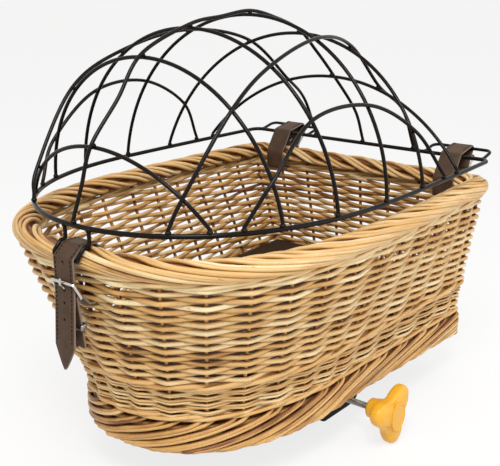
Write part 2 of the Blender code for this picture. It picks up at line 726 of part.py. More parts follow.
def touch_deg(point, centre, radius, hand):
    """Angle at which a line from a point touches a circle round a centre."""
    reach = Vector(point) - Vector(centre)
    return math.degrees(math.atan2(reach[1], reach[0]) + hand * math.acos(radius / reach.length))


def wall_slot(name, side, middle_y, z, half_thickness, wall):
    """Cut the slot that a strap passes through the willow wall by."""
    half_width = STRAP_WIDTH / 2 + LOOSE_GAP
    room = half_thickness + 2 * SEAT_GAP
    slot = strap_slot(name, side, middle_y, z - room, z + room, face_u(side, z, WALL_THICKNESS) - OVERRUN,
                      face_u(side, z) + OVERRUN, 2 * half_width)
    cut(wall, slot)


def build_front_strap(wall):
    """The closing strap: a belt round the border and the catch loop's bar, with its buckle outside."""
    half, gap = STRAP_THICKNESS / 2, SEAT_GAP
    clear = gap + half
    bar_u, bar_z = catch_bar()
    hang_u = bar_u + HOOP_WIRE + clear
    fold = BUCKLE_WIRE + clear
    heel = (hang_u - half - clear - fold, FRONT_HEEL_Z)
    flap_end = (FLAP_END_U, FLAP_END_Z)
    out_of_wall = (face_u(FRONT, FRONT_SLOT_Z) + SLOT_STANDOFF, FRONT_SLOT_Z)
    path = [flap_end]
    path += arc(heel, fold, touch_deg(flap_end, heel, fold, 1), touch_deg(out_of_wall, heel, fold, -1) % 360.0,
                2 * BEND_STEPS)
    path.append(out_of_wall)
    turn = half + STRAP_THICKNESS
    in_u = FRONT_BORDER_U - BORDER_HALF - clear
    path += arc((in_u + turn, FRONT_SLOT_Z + turn), turn, 270.0, 180.0)
    bevel = clear * math.tan(math.pi / 8)
    path += [(in_u, BORDER_MID_Z + BORDER_SIDE_RISE + bevel),
             (FRONT_BORDER_U - BORDER_FLAT_HALF - bevel, BORDER_TOP + clear), border_shoulder(clear)[0]]
    path += arc((bar_u, bar_z), HOOP_WIRE + clear, CREST_LEAVE_DEG, 0.0)
    tip_z = RING_Z - STRAP_DROP
    path += [(hang_u, FRONT_BAR_Z), (hang_u, FRONT_HEEL_Z), (hang_u, tip_z + STRAP_TIP)]
    strap = ribbon("front_strap", path, FRONT, CLOSURE_Y, STRAP_WIDTH, STRAP_THICKNESS, tip=STRAP_TIP)
    wall_slot("wall slot front", FRONT, CLOSURE_Y, FRONT_SLOT_Z, half, wall)
    bar = (hang_u + clear + BUCKLE_WIRE, FRONT_BAR_Z)
    buckle("front_buckle", heel, bar, CLOSURE_Y, FRONT, BUCKLE_WIRE)
    inner_u = heel[0] + BUCKLE_WIRE + PRONG_WIRE + gap
    outer_u = bar[0] + BUCKLE_WIRE + PRONG_WIRE + gap
    cross_z = FRONT_HEEL_Z + (FRONT_BAR_Z - FRONT_HEEL_Z) * PRONG_CROSS_share
    route = [(inner_u, cross_z - PRONG_WIRE * PRONG_BACK_WIRES), (inner_u + half, cross_z - PRONG_WIRE),
             (hang_u + half, cross_z + PRONG_WIRE), (bar[0], FRONT_BAR_Z - 2 * BUCKLE_WIRE - PRONG_WIRE),
             (outer_u, FRONT_BAR_Z - BUCKLE_WIRE), (outer_u, FRONT_BAR_Z + BUCKLE_WIRE),
             (outer_u - PRONG_WIRE / 2, FRONT_BAR_Z + BUCKLE_WIRE * PRONG_TIP_WIRES)]
    prong("front_prong", heel, route, PRONG_WIRE, BUCKLE_WIRE, CLOSURE_Y, FRONT)
    cut(strap, strap_slot("prong hole front", FRONT, CLOSURE_Y, cross_z - PRONG_SLOT_LENGTH / 2,
                          cross_z + PRONG_SLOT_LENGTH / 2, hang_u - half - gap, hang_u + OVERRUN))
    cut(strap, strap_slot("fold slot front", FRONT, CLOSURE_Y, heel[1] - FOLD_SLOT_LENGTH / 2,
                          heel[1] + FOLD_SLOT_LENGTH / 2, heel[0] - fold * 2, heel[0] + fold + half + gap / 2))
    for i, rise in enumerate(STRAP_HOLE_ABOVE_BAR, 1):
        z = FRONT_BAR_Z + rise
        hole = rod_between(f"strap hole {i}", (-hang_u - OVERRUN, CLOSURE_Y, z),
                           (-hang_u + half + gap, CLOSURE_Y, z), STRAP_HOLE,
                           BLACK_STEEL, CUTTERS, RIVET_SIDES)
        cut(strap, as_cutter(hole))
    build_flap_metal(strap, heel, fold, flap_end)


def build_flap_metal(strap, heel, fold, flap_end):
    """The wire keeper and the two rivets on the flap below the buckle."""
    start = Vector(flap_end)
    end = Vector(arc(heel, fold, touch_deg(flap_end, heel, fold, 1), 0.0)[0])
    along = (end - start).normalized()
    normal = Vector((along[1], -along[0]))
    clear = STRAP_THICKNESS / 2 + SEAT_GAP

    def on_flap(z):
        return start + along * ((z - start[1]) / along[1])

    reach = normal * (clear + KEEPER_WIRE)
    half_width = STRAP_WIDTH / 2 + LOOSE_GAP + KEEPER_WIRE
    place = on_flap(KEEPER_Z)
    ends = ((place - reach, -1), (place + reach, -1), (place + reach, 1), (place - reach, 1))
    corners = [(-u, CLOSURE_Y + hand * half_width, z) for (u, z), hand in ends]
    tube("front_keeper", rounded(corners, KEEPER_WIRE, True), KEEPER_WIRE, NICKEL, True, 1)
    depth = STRAP_THICKNESS + 2 * SEAT_GAP
    head, thick, shank = RIVET_HEAD, RIVET_HEAD_THICKNESS, RIVET_SHANK
    profile = [(0.0, thick), (head * RIVET_FLAT_share, thick), (head, thick * RIVET_RIM_share), (head, 0.0),
               (shank, 0.0), (shank, -depth), (head, -depth), (head, -depth - thick), (0.0, -depth - thick)]
    for i, z in enumerate(RIVET_Z, 1):
        middle = on_flap(z)
        inside = middle - normal * OVERRUN
        face = middle + normal * clear
        turned(f"strap_rivet_{i}", profile, (-face[0], CLOSURE_Y, face[1]), (-normal[0], 0.0, normal[1]),
               NICKEL, RIVET_SIDES)
        outside = (-middle[0] - normal[0] * clear, CLOSURE_Y, middle[1] + normal[1] * clear)
        hole = rod_between(f"rivet hole {i}", outside, (-inside[0], CLOSURE_Y, inside[1]), shank + 2 * SEAT_GAP,
                           BLACK_STEEL, CUTTERS, BOLT_HOLE_SIDES)
        cut(strap, as_cutter(hole))


def build_rear_strap(hand, word, wall):
    """A hinge strap round the back border, the ring's back wire and a hinge loop, with its buckle."""
    half, gap = REAR_STRAP_THICKNESS / 2, SEAT_GAP
    middle_y = hand * HINGE_LOOP_Y
    border_out = BACK_BORDER_U + BORDER_HALF
    border_in = BACK_BORDER_U - BORDER_HALF
    slot_z = WALL_TOP - SLOT_BELOW_BORDER
    inner_u = border_out + gap + half
    fold = REAR_BUCKLE_WIRE + gap + half
    heel = (inner_u + fold, REAR_HEEL_Z)
    tail_u = heel[0] + fold + half + gap + half
    turn = half + REAR_STRAP_THICKNESS
    path = [(heel[0] + fold, REAR_HEEL_Z - REAR_FLAP)]
    path += arc(heel, fold, 0.0, 180.0)
    path += arc((inner_u - turn, slot_z + turn), turn, 0.0, -90.0)
    in_u = border_in - gap - half
    path += arc((in_u + turn, slot_z + turn), turn, 270.0, 180.0)
    path.append((in_u, BORDER_MID_Z + BORDER_SIDE_RISE))
    path += arc((RING_BACK_X, RING_Z), RING_WIRE + gap + half, REAR_CREST_MEET_DEG, REAR_CREST_LEAVE_DEG)
    turn_over = HOOP_WIRE + gap + half
    fall = (HINGE_Z - REAR_BAR_Z) / (HINGE_Z - REAR_HEEL_Z)
    bar_u = (HINGE_X + turn_over) * (1 - fall) + tail_u * fall
    hinge = (HINGE_X, HINGE_Z)
    path += arc(hinge, turn_over, REAR_CREST_LEAVE_DEG, touch_deg((bar_u, REAR_BAR_Z), hinge, turn_over, 1))
    path += [(bar_u, REAR_BAR_Z), (tail_u, REAR_HEEL_Z + fold), (tail_u, REAR_TAIL_Z + REAR_TIP)]
    strap = ribbon(f"hinge_strap_{word}", path, BACK, middle_y, STRAP_WIDTH, REAR_STRAP_THICKNESS, tip=REAR_TIP)
    bar = (bar_u + half + 2 * gap + LOOSE_GAP + REAR_BUCKLE_WIRE, REAR_BAR_Z)
    buckle(f"hinge_buckle_{word}", heel, bar, middle_y, BACK, REAR_BUCKLE_WIRE)
    wire = REAR_PRONG_WIRE
    near_u = heel[0] + REAR_BUCKLE_WIRE + wire + gap
    far_u = bar[0] + REAR_BUCKLE_WIRE + wire + gap
    cross_z = REAR_HEEL_Z + (REAR_BAR_Z - REAR_HEEL_Z) * PRONG_CROSS_share
    cross_u = tail_u + (bar_u - tail_u) * (cross_z - REAR_HEEL_Z - fold) / (REAR_BAR_Z - REAR_HEEL_Z - fold)
    route = [(near_u, cross_z - wire * REAR_PRONG_BACK_WIRES), (cross_u - half - wire, cross_z - wire),
             (cross_u + half * 2, cross_z + wire), (bar[0] + gap, cross_z + wire * REAR_PRONG_RISE_WIRES),
             (far_u, REAR_BAR_Z - REAR_BUCKLE_WIRE), (far_u, REAR_BAR_Z + REAR_BUCKLE_WIRE),
             (far_u - wire / 2, REAR_BAR_Z + REAR_BUCKLE_WIRE * PRONG_TIP_WIRES)]
    prong(f"hinge_prong_{word}", heel, route, wire, REAR_BUCKLE_WIRE, middle_y, BACK)
    cut(strap, strap_slot(f"prong hole {word}", BACK, middle_y, cross_z - PRONG_SLOT_LENGTH / 2,
                          cross_z + PRONG_SLOT_LENGTH / 2, cross_u - 3 * half, bar_u + OVERRUN))
    fold_low = REAR_HEEL_Z - REAR_FLAP * REAR_FOLD_SLOT_DOWN_share
    cut(strap, strap_slot(f"fold slot {word}", BACK, middle_y, fold_low, REAR_HEEL_Z + 2 * fold,
                          heel[0] - fold * REAR_FOLD_SLOT_IN_share,
                          heel[0] + fold + half * REAR_FOLD_SLOT_OUT_share))
    wall_slot(f"wall slot {word}", BACK, middle_y, slot_z, half, wall)


def build_channel(board):
    """The bent steel channel under the floor board, with its bolts and nuts."""
    half, sheet = CHANNEL_WIDTH / 2, CHANNEL_SHEET
    top = BAND_TOP - SEAT_GAP - sheet / 2
    line = [(-half - FLANGE_WIDTH, top), (-half + sheet / 2, top), (-half + sheet / 2, sheet / 2),
            (half - sheet / 2, sheet / 2), (half - sheet / 2, top), (half + FLANGE_WIDTH, top)]
    shape = bmesh.new()
    rows = [[shape.verts.new((x, y, z)) for y in (-CHANNEL_LENGTH / 2, CHANNEL_LENGTH / 2)] for x, z in line]
    for row, following in zip(rows, rows[1:]):
        shape.faces.new((row[0], row[1], following[1], following[0]))
    channel = from_bmesh("clamp_channel", shape, BLACK_STEEL)
    solidify = channel.modifiers.new("sheet", "SOLIDIFY")
    solidify.thickness = sheet
    solidify.offset = 0.0
    solidify.use_even_offset = True
    board_top = BAND_TOP + BOARD_THICKNESS
    flange_under = BAND_TOP - SEAT_GAP - sheet
    tail = flange_under - SEAT_GAP - NUT_THICKNESS - BOLT_TAIL
    head, shank = BOLT_HEAD, BOLT_SHANK
    base = board_top + SEAT_GAP
    profile = [(0.0, base + BOLT_HEAD_THICKNESS), (head * BOLT_FLAT_share, base + BOLT_HEAD_THICKNESS),
               (head, base + BOLT_HEAD_THICKNESS * BOLT_RIM_share), (head, base), (shank, base), (shank, tail),
               (0.0, tail)]
    up = (0.0, 0.0, 1.0)
    nut_z = flange_under - SEAT_GAP - NUT_THICKNESS
    corners = [(x, y) for x in (-BOLT_X, BOLT_X) for y in (-BOLT_Y, BOLT_Y)]
    for i, (x, y) in enumerate(corners, 1):
        turned(f"clamp_bolt_{i}", profile, (x, y, 0.0), up, ZINC)
        turned_ring(f"clamp_nut_{i}", NUT_RADIUS, NUT_BORE, NUT_THICKNESS, (x, y, nut_z), up, ZINC, NUT_SIDES)
        hole = rod_between(f"bolt hole {i}", (x, y, tail), (x, y, board_top + OVERRUN),
                           shank + 2 * SEAT_GAP, BLACK_STEEL, CUTTERS, BOLT_HOLE_SIDES)
        as_cutter(hole)
        cut(board, hole)
        cut(channel, hole)
    room = JAW_NECK / 2 + LOOSE_GAP
    neck = JAW_THICKNESS / 2 + LOOSE_GAP
    slots = {"moving": (-CHANNEL_LENGTH / 2 - OVERRUN, OPEN_JAW_Y + JAW_TRAVEL + neck),
             "fixed": (FIXED_JAW_Y - neck, FIXED_JAW_Y + neck)}
    for word, (start, end) in slots.items():
        slot = box(f"channel slot {word}", (-room, start, -OVERRUN), (room, end, sheet + OVERRUN),
                   BLACK_STEEL, CUTTERS)
        cut(channel, as_cutter(slot))


def jaw_outline():
    """Outline of a jaw's plate in X and Z, with its lower corners rounded."""
    half, top, bottom = JAW_LENGTH / 2, -SEAT_GAP, -JAW_HEIGHT
    radius = JAW_END_RADIUS
    points = [(half, top)]
    for centre_x, start in ((half - radius, 0.0), (-half + radius, -90.0)):
        for i in range(BEND_STEPS + 1):
            angle = math.radians(start - 90.0 * i / BEND_STEPS)
            points.append((centre_x + radius * math.cos(angle), bottom + radius + radius * math.sin(angle)))
    points.append((-half, top))
    return points


def build_jaw(name, middle_y, inward):
    """A clamp jaw: a plate with a neck through the channel, a head above it and two lips below."""
    shape = bmesh.new()
    front = [shape.verts.new((x, middle_y - JAW_THICKNESS / 2, z)) for x, z in jaw_outline()]
    face = shape.faces.new(front)
    grown = bmesh.ops.extrude_face_region(shape, geom=[face])
    verts = [item for item in grown["geom"] if isinstance(item, bmesh.types.BMVert)]
    bmesh.ops.translate(shape, vec=(0.0, JAW_THICKNESS, 0.0), verts=verts)
    jaw = from_bmesh(name, shape, BLACK_STEEL)
    head_low = CHANNEL_SHEET + SEAT_GAP
    sink = JAW_THICKNESS / 2
    pieces = [box(name + " neck", (-JAW_NECK / 2, middle_y - JAW_THICKNESS / 2, -sink),
                  (JAW_NECK / 2, middle_y + JAW_THICKNESS / 2, head_low + JAW_HEAD_THICKNESS / 2),
                  BLACK_STEEL, CUTTERS),
              box(name + " head", (-JAW_HEAD_LENGTH / 2, middle_y - JAW_HEAD_WIDTH / 2, head_low),
                  (JAW_HEAD_LENGTH / 2, middle_y + JAW_HEAD_WIDTH / 2, head_low + JAW_HEAD_THICKNESS),
                  BLACK_STEEL, CUTTERS)]
    face_y = middle_y + inward * JAW_THICKNESS / 2
    for hand in (-1, 1):
        far_x = hand * (JAW_LENGTH / 2 - JAW_END_RADIUS)
        x_ends = sorted((far_x, far_x - hand * LIP_LENGTH))
        y_ends = sorted((face_y - inward * sink, face_y + inward * LIP_REACH))
        pieces.append(box(f"{name} lip {hand}", (x_ends[0], y_ends[0], -JAW_HEIGHT),
                          (x_ends[1], y_ends[1], -JAW_HEIGHT + LIP_HEIGHT), BLACK_STEEL, CUTTERS))
    for piece in pieces:
        union = jaw.modifiers.new("join " + piece.name, "BOOLEAN")
        union.operation = "UNION"
        union.object = as_cutter(piece)
    bore = rod_between(name + " bore", (0.0, middle_y - JAW_THICKNESS, ROD_Z),
                       (0.0, middle_y + JAW_THICKNESS, ROD_Z), ROD_BORE, BLACK_STEEL, CUTTERS, BORE_SIDES)
    cut(jaw, as_cutter(bore))
    return jaw


def build_clamp():
    """Both jaws, the threaded rod and what holds it, and the knob."""
    build_jaw("clamp_jaw_moving", OPEN_JAW_Y, 1)
    build_jaw("clamp_jaw_fixed", FIXED_JAW_Y, -1)
    outside = FIXED_JAW_Y + JAW_THICKNESS / 2 + SEAT_GAP
    rod_end = outside + ROD_NUT_THICKNESS + ROD_TAIL
    bore_end = KNOB_BACK_Y - KNOB_BORE_DEPTH + KNOB_HUB_LENGTH
    rod_between("clamp_rod", (0.0, bore_end + SEAT_GAP, ROD_Z), (0.0, rod_end, ROD_Z), ROD_RADIUS, ZINC)
    along = (0.0, 1.0, 0.0)
    turned_ring("rod_lock_nut", ROD_NUT_RADIUS, ROD_NUT_BORE, ROD_NUT_THICKNESS, (0.0, outside, ROD_Z), along,
                ZINC, NUT_SIDES)
    inside = FIXED_JAW_Y - JAW_THICKNESS / 2 - SEAT_GAP - ROD_COLLAR_THICKNESS
    turned_ring("rod_collar", ROD_COLLAR_RADIUS, ROD_BORE, ROD_COLLAR_THICKNESS, (0.0, inside, ROD_Z), along,
                ZINC, BORE_SIDES)
    nut_y = OPEN_JAW_Y - JAW_THICKNESS / 2 - SEAT_GAP - ROD_NUT_THICKNESS
    turned_ring("jaw_nut", ROD_NUT_RADIUS, ROD_NUT_BORE, ROD_NUT_THICKNESS, (0.0, nut_y, ROD_Z), along, ZINC,
                NUT_SIDES)
    build_knob(bore_end)


def lobe_radius(angle, size):
    """Radius of the knob's three-lobed outline at an angle, for lobes of this size (0 to 1)."""
    wave = (1 + math.cos(3 * (angle - math.radians(KNOB_FIRST_LOBE_DEG)))) / 2
    return KNOB_CORE_RADIUS + (KNOB_RADIUS - KNOB_CORE_RADIUS) * size * wave ** KNOB_LOBE_POWER_share


def build_knob(bore_end):
    """The three-lobed knob with its hub towards the rod, and the oval cap on its face."""
    shape = bmesh.new()
    edge_share = KNOB_EDGE / KNOB_THICKNESS
    levels = [(KNOB_HUB_LENGTH, 0.0, KNOB_HUB_RADIUS), (0.0, 0.0, KNOB_HUB_RADIUS), (0.0, 1.0, -KNOB_EDGE)]
    turned_in = edge_share * KNOB_EDGE_DEPTH_share
    for depth, shrink in ((turned_in, KNOB_EDGE_IN_share), (edge_share, 0.0), (1 - edge_share, 0.0),
                          (1 - turned_in, KNOB_EDGE_IN_share), (1.0, 1.0)):
        levels.append((-KNOB_THICKNESS * depth, 1.0, -KNOB_EDGE * shrink))
    rows = []
    for offset, lobed, change in levels:
        row = []
        for i in range(LOBE_STEPS):
            angle = 2 * math.pi * i / LOBE_STEPS
            radius = lobe_radius(angle, 1.0) + change if lobed else change
            row.append(shape.verts.new((radius * math.cos(angle), KNOB_BACK_Y + offset,
                                        ROD_Z + radius * math.sin(angle))))
        rows.append(row)
    for row, following in zip(rows, rows[1:]):
        for i in range(LOBE_STEPS):
            j = (i + 1) % LOBE_STEPS
            shape.faces.new((row[i], row[j], following[j], following[i]))
    shape.faces.new(rows[0])
    shape.faces.new(rows[-1])
    knob = smooth_sides(from_bmesh("clamp_knob", shape, YELLOW))
    bore = rod_between("knob bore", (0.0, bore_end, ROD_Z),
                       (0.0, KNOB_BACK_Y + KNOB_HUB_LENGTH + OVERRUN, ROD_Z),
                       ROD_BORE, BLACK_STEEL, CUTTERS, BORE_SIDES)
    cut(knob, as_cutter(bore))
    face_y = KNOB_BACK_Y - KNOB_THICKNESS - SEAT_GAP
    shape = bmesh.new()
    bmesh.ops.create_cone(shape, cap_ends=True, segments=2 * TURN_STEPS, radius1=CAP_HALF_WIDTH,
                          radius2=CAP_HALF_WIDTH, depth=CAP_RISE, matrix=Matrix.Rotation(math.pi / 2, 4, "X"))
    bmesh.ops.scale(shape, vec=(1.0, 1.0, CAP_HALF_HEIGHT / CAP_HALF_WIDTH), verts=shape.verts)
    bmesh.ops.translate(shape, vec=(0.0, face_y - CAP_RISE / 2, ROD_Z), verts=shape.verts)
    cap = smooth_sides(from_bmesh("knob_cap", shape, YELLOW))
    bevel = cap.modifiers.new("rim", "BEVEL")
    bevel.width = CAP_EDGE
    bevel.segments = BEVEL_STEPS
    bevel.limit_method = "ANGLE"


def main():
    """Build every piece of the basket."""
    wall = build_willow()
    board = build_floor_board()
    build_dome_wires()
    build_loops()
    build_front_strap(wall)
    for hand, word in ((-1, "right"), (1, "left")):
        build_rear_strap(hand, word, wall)
    build_channel(board)
    build_clamp()


main()
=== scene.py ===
"""A rear bicycle basket of woven willow with a hinged wire dome, leather straps and a rack clamp.

Metres, +Z up: -X is the rounded front, +X the straight back, and the clamp's knob is on the -Y side.
"""
import math

import bmesh
import bpy
import numpy as np
from bpy.props import FloatProperty, FloatVectorProperty, IntProperty, PointerProperty
from mathutils import Matrix, Vector


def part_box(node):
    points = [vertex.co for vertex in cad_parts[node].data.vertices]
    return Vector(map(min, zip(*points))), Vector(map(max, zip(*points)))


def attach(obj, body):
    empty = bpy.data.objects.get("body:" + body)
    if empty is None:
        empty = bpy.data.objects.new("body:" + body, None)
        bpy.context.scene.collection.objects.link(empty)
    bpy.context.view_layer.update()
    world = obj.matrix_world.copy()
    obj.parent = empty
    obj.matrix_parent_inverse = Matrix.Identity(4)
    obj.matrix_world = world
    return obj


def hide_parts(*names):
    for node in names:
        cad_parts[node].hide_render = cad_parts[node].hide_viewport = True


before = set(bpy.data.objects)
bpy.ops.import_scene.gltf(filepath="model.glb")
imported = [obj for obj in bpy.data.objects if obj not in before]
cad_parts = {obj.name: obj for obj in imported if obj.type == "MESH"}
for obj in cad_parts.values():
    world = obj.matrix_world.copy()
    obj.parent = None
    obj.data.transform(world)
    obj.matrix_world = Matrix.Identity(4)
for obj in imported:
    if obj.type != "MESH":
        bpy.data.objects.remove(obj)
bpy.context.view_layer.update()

bl_info = {
    "name": "Willow Bicycle Basket",
    "version": (1, 0, 0),
    "blender": (4, 5, 0),
    "location": "View3D > Sidebar > Basket",
    "description": "Weaves a willow bicycle basket round its frame and finishes its wire, leather and metal",
    "category": "Add Mesh",
}

MM = 0.001

# The ring of the dome, which every plan line of the basket follows
RING_LENGTH = 0.500
RING_HALF_WIDTH = 0.1885
RING_BACK_HALF_WIDTH = 0.1825
RING_BACK_X = 0.210
RING_CORNER = 0.012
RING_FULLNESS = 2.15
ROUND_START = 0.5
RING_Z = 0.241

# Willow shell: offsets from the ring's line are (front, side, side at the back, back)
BAND_BASE = 0.032
BAND_TOP = 0.074
WALL_TOP = 0.199
BORDER_TOP = 0.223
BORDER_OFFSETS = (-0.0025, -0.002, -0.0053, -0.0055)
WALL_BESIDE_BORDER = 0.009
FOOT_OFFSETS = (-0.042, -0.0465, -0.032, 0.017)
CORNER_TOP = 0.025
CORNER_FOOT = 0.011
FOOT_DROP = 0.006
FOOT_RISE = 0.005
BOARD_INSET = 0.0145
BOARD_THICKNESS = 0.004
BOARD_EDGE = 0.0012
BOARD_POINTS = 360
BORDER_FULLNESS = 2.67
FOOT_FULLNESS = 2.20
LEAN = ((0.0, 1.0), (0.181, 0.98), (0.281, 0.89), (0.382, 0.77), (0.482, 0.65), (0.583, 0.53),
        (0.683, 0.40), (0.784, 0.25), (0.884, 0.11), (1.0, 0.0))
PLAN_STEPS = (10, 12, 16, 60)
SHELL_LEVELS = 41
SHELL_STEPS = 1440
NORMAL_REACH = 4
WALL_MIDDLE = -0.007
BORDER_MIDDLE = -0.009
BORDER_MID_Z = (WALL_TOP + BORDER_TOP) / 2
BORDER_HALF = 0.014
BORDER_FLAT_HALF = 0.007
BORDER_SIDE_RISE = 0.00504
HANDS = ((-1, "right"), (1, "left"))

# Wires of the dome, as shares of the ring's length and of the dome's height
DOME_HEIGHT = 0.1825
HOOP_FOOT_X = (0.187, 0.354, 0.504, 0.657, 0.779, 0.894)
HOOP_CREST_X = (0.157, 0.297, 0.476, 0.667, 0.803, 0.940)
HOOP_CREST_HEIGHT = (0.529, 0.843, 0.982, 0.933, 0.803, 0.377)
RAIL_SPREAD = (0.368, 0.391, 0.488, 0.572, 0.677, 0.809)
RAIL_BACK_FOOT = 0.42
RAIL_FRONT_FOOT_X = 0.943
RAIL_BACK_KNOT = (0.060, 0.415, 0.310)
SPINE_LOOSE_KNOTS = ((0.227, 0.725), (0.387, 0.955), (0.572, 0.985), (0.875, 0.605), (0.043, 0.26),
                     (0.976, 0.19))
ARCH_BACK_FOOT_X = 0.252
ARCH_FRONT_FOOT_X = 0.845
ARCH_HEIGHT = (0.279, 0.480, 0.465, 0.213)
RING_WIRE = 0.0025
HOOP_WIRE = 0.002
SEAT_GAP = 0.0003
FOOT_STUB = 0.003
FOOT_TOP_Z = RING_Z + RING_WIRE + SEAT_GAP + FOOT_STUB
HOOP_STEPS = 60
WIRE_SIDES = 14
CATCH_STEPS = 4
FOOT_BEAD = (1.05, 1.05, 0.85)
FOOT_BEAD_RISE = 0.2
CROSSING_BEAD = 0.75
HINGE_BEAD = (0.9, 1.1, 0.9)
CATCH_BEAD = (1.0, 1.1, 1.0)
CATCH_BEAD_DROP = 0.6

# Loops, straps and buckles
HINGE_X = 0.2375
HINGE_Z = 0.247
HINGE_LOOP_WIDTH = 0.080
HINGE_LOOP_CORNER = 0.008
HINGE_LOOP_Y = 0.1325
CATCH_LOOP_WIDTH = 0.034
CATCH_LOOP_CORNER = 0.003
CATCH_BAR_DROP = 0.44
CLOSURE_Y = -0.0037
STRAP_WIDTH = 0.028
STRAP_THICKNESS = 0.0025
STRAP_TIP = 0.026
STRAP_DROP = 0.1375
STRAP_LEAN = 0.006
FLAP_END = (0.2985, 0.124)
FRONT_SLOT_Z = 0.1665
SLOT_STANDOFF = 0.002
FRONT_HEEL_Z = 0.1755
FRONT_BAR_Z = 0.191
BUCKLE_WIRE = 0.0015
KEEPER_SHEET = 0.0008
KEEPER_HEIGHT = 0.0050
KEEPER_TILT = 0.0007
KEEPER_CORNER = 0.001
STRAP_STEP = 0.003
STRAP_TIP_POWER = 0.85
STRAP_TIP_HALF = 0.0012
STRAP_EDGE = 0.8
# Turns of each rounded edge, as (degrees, share of painted highlight)
STRAP_EDGE_TURNS = ((90.0, 0.0), (55.0, 0.35), (20.0, 0.8))
SHOULDER_CORNER = 0.004
BAR_TURN_DEG = 62.0
LEAN_AT_HEEL = 0.1
HOLE_LEAN = 0.07
REAR_TURN_DEG = (165.0, 100.0)
FRONT_SEAM_START = 0.012
REAR_SEAM_START = 0.020
REAR_HOLE_DROP = 0.014

# Holes as (radius, length of the cutter)
STRAP_HOLE = (0.0016, 0.010)
FRONT_PRONG_HOLE = (0.0021, 0.006)
REAR_PRONG_HOLE = (0.0018, 0.010)
REAR_TAIL_HOLE = (0.0014, 0.005)
HOLE_SIDES = 16
STRAP_HOLES_ABOVE_BAR = (0.0195, -0.021, -0.0375)
REAR_STRAP_THICKNESS = 0.0022
REAR_BUCKLE_WIRE = 0.0012
REAR_HEEL_Z = 0.220
REAR_BAR_Z = 0.238
REAR_TAIL_Z = 0.186
REAR_TIP = 0.012
REAR_FLAP = 0.009
SLOT_BELOW_BORDER = 0.0065

# Clamp
ROD_Z = -0.0165
ROD_RADIUS = 0.004
THREAD_PITCH = 0.002
THREAD_DEPTH = 0.0011
THREAD_SIDES = 24
ROD_CHAMFER = 0.0006
KNOB_RADIUS = 0.038
KNOB_CORE_RADIUS = 0.0215
KNOB_LOBE_POWER = 1.35
KNOB_FIRST_LOBE_DEG = 40.0
KNOB_LOBES_FROM = 0.0045
KNOB_LOBES_TO = 0.0185
KNOB_FACE = 0.0218
KNOB_FACE_NARROWING = 0.62
KNOB_EDGE = 0.0052
KNOB_STEPS = 96
CAP_HALF_WIDTH = 0.0140
CAP_HALF_HEIGHT = 0.0172
CAP_RISE = 0.0016
CAP_STEPS = 64
CAP_PROFILE = ((1.0, 0.0005), (1.0, -CAP_RISE * 0.7), (0.97, -CAP_RISE), (0.90, -CAP_RISE),
               (0.87, -CAP_RISE * 0.6))
CAP_MIDDLE = -CAP_RISE * 0.75
KNOB_HUB_RADIUS = 0.0115
KNOB_HUB_FLARE = 0.0048
KNOB_HUB_FLARE_POWER = 1.6
KNOB_HUB_CHAMFER = 0.0012
KNOB_HUB_LENGTH = 0.015
KNOB_BACK_Y = -0.168
JAW_SHEET = 0.008
COAT_THICKNESS = 0.0015
COAT_EDGE = 0.0030
COAT_CORNER = 0.0082
COAT_DROP = 0.0055
COAT_SHORT = 0.0060
COAT_BELOW_ROD = 0.0015
COAT_EDGE_STEPS = 4


def linear(code):
    """Turn an sRGB hex colour into the linear values that Blender mixes."""
    values = [int(code[i:i + 2], 16) / 255 for i in (1, 3, 5)]
    return tuple(v / 12.92 if v <= 0.04045 else ((v + 0.055) / 1.055) ** 2.4 for v in values)


def colour_property(name, description, code):
    """A colour that the sidebar can change."""
    return FloatVectorProperty(name=name, description=description, subtype="COLOR", size=3, min=0.0, max=1.0,
                               default=linear(code))


def length_property(name, description, default):
    """A length in metres that the sidebar can change."""
    return FloatProperty(name=name, description=description, default=default, min=0.0002, soft_max=0.5,
                         unit="LENGTH", subtype="DISTANCE", precision=4)


def level_property(name, description, default):
    """A number from zero up that the sidebar can change."""
    return FloatProperty(name=name, description=description, default=default, min=0.0)


class WillowSettings(bpy.types.PropertyGroup):
    """Sizes and colours of the willow."""

    stakes: IntProperty(name="Stakes", description="Upright stakes round the basket, an even count",
                        default=36, min=12, max=60, step=2)
    row_pitch: length_property("Row pitch", "Height from one woven row to the next", 0.00495)
    rod_height: length_property("Rod height", "Height of a rod in the wall", 0.0054)
    rod_depth: length_property("Rod depth", "Thickness of a rod through the wall", 0.0046)
    reach: length_property("Reach", "How far a rod bends in and out round the stakes", 0.0049)
    band_pitch: length_property("Band pitch", "Height from pair to pair of rods in the lower band", 0.0052)
    band_rod: length_property("Band rod", "Thickness of the thin rods of the lower band", 0.0031)
    border_rod: length_property("Border rod", "Thickness of the rods of the rim", 0.0047)
    foot_rod: length_property("Foot rod", "Thickness of the rods of the foot", 0.0050)
    pale: colour_property("Pale willow", "Freshly peeled rods", "#F0DCAE")
    golden: colour_property("Golden willow", "Boiled and peeled rods", "#D0A05C")
    brown: colour_property("Brown willow", "The darkest rods and knots", "#74401A")


class DomeSettings(bpy.types.PropertyGroup):
    """Finish of the dome's wires."""

    coating: colour_property("Coating", "Plastic coating of the wires", "#110C09")
    weld_size: length_property("Weld size", "Radius of a weld bead", 0.0030)


class LeatherSettings(bpy.types.PropertyGroup):
    """Finish of the straps."""

    leather: colour_property("Leather", "Dyed face of the leather", "#4B3728")
    thread: colour_property("Thread", "Waxed thread of the seams", "#1C130E")
    stitch: length_property("Stitch", "Distance from stitch to stitch", 0.0042)
    seam_inset: length_property("Seam inset", "Distance of a seam from the strap's edge", 0.0032)


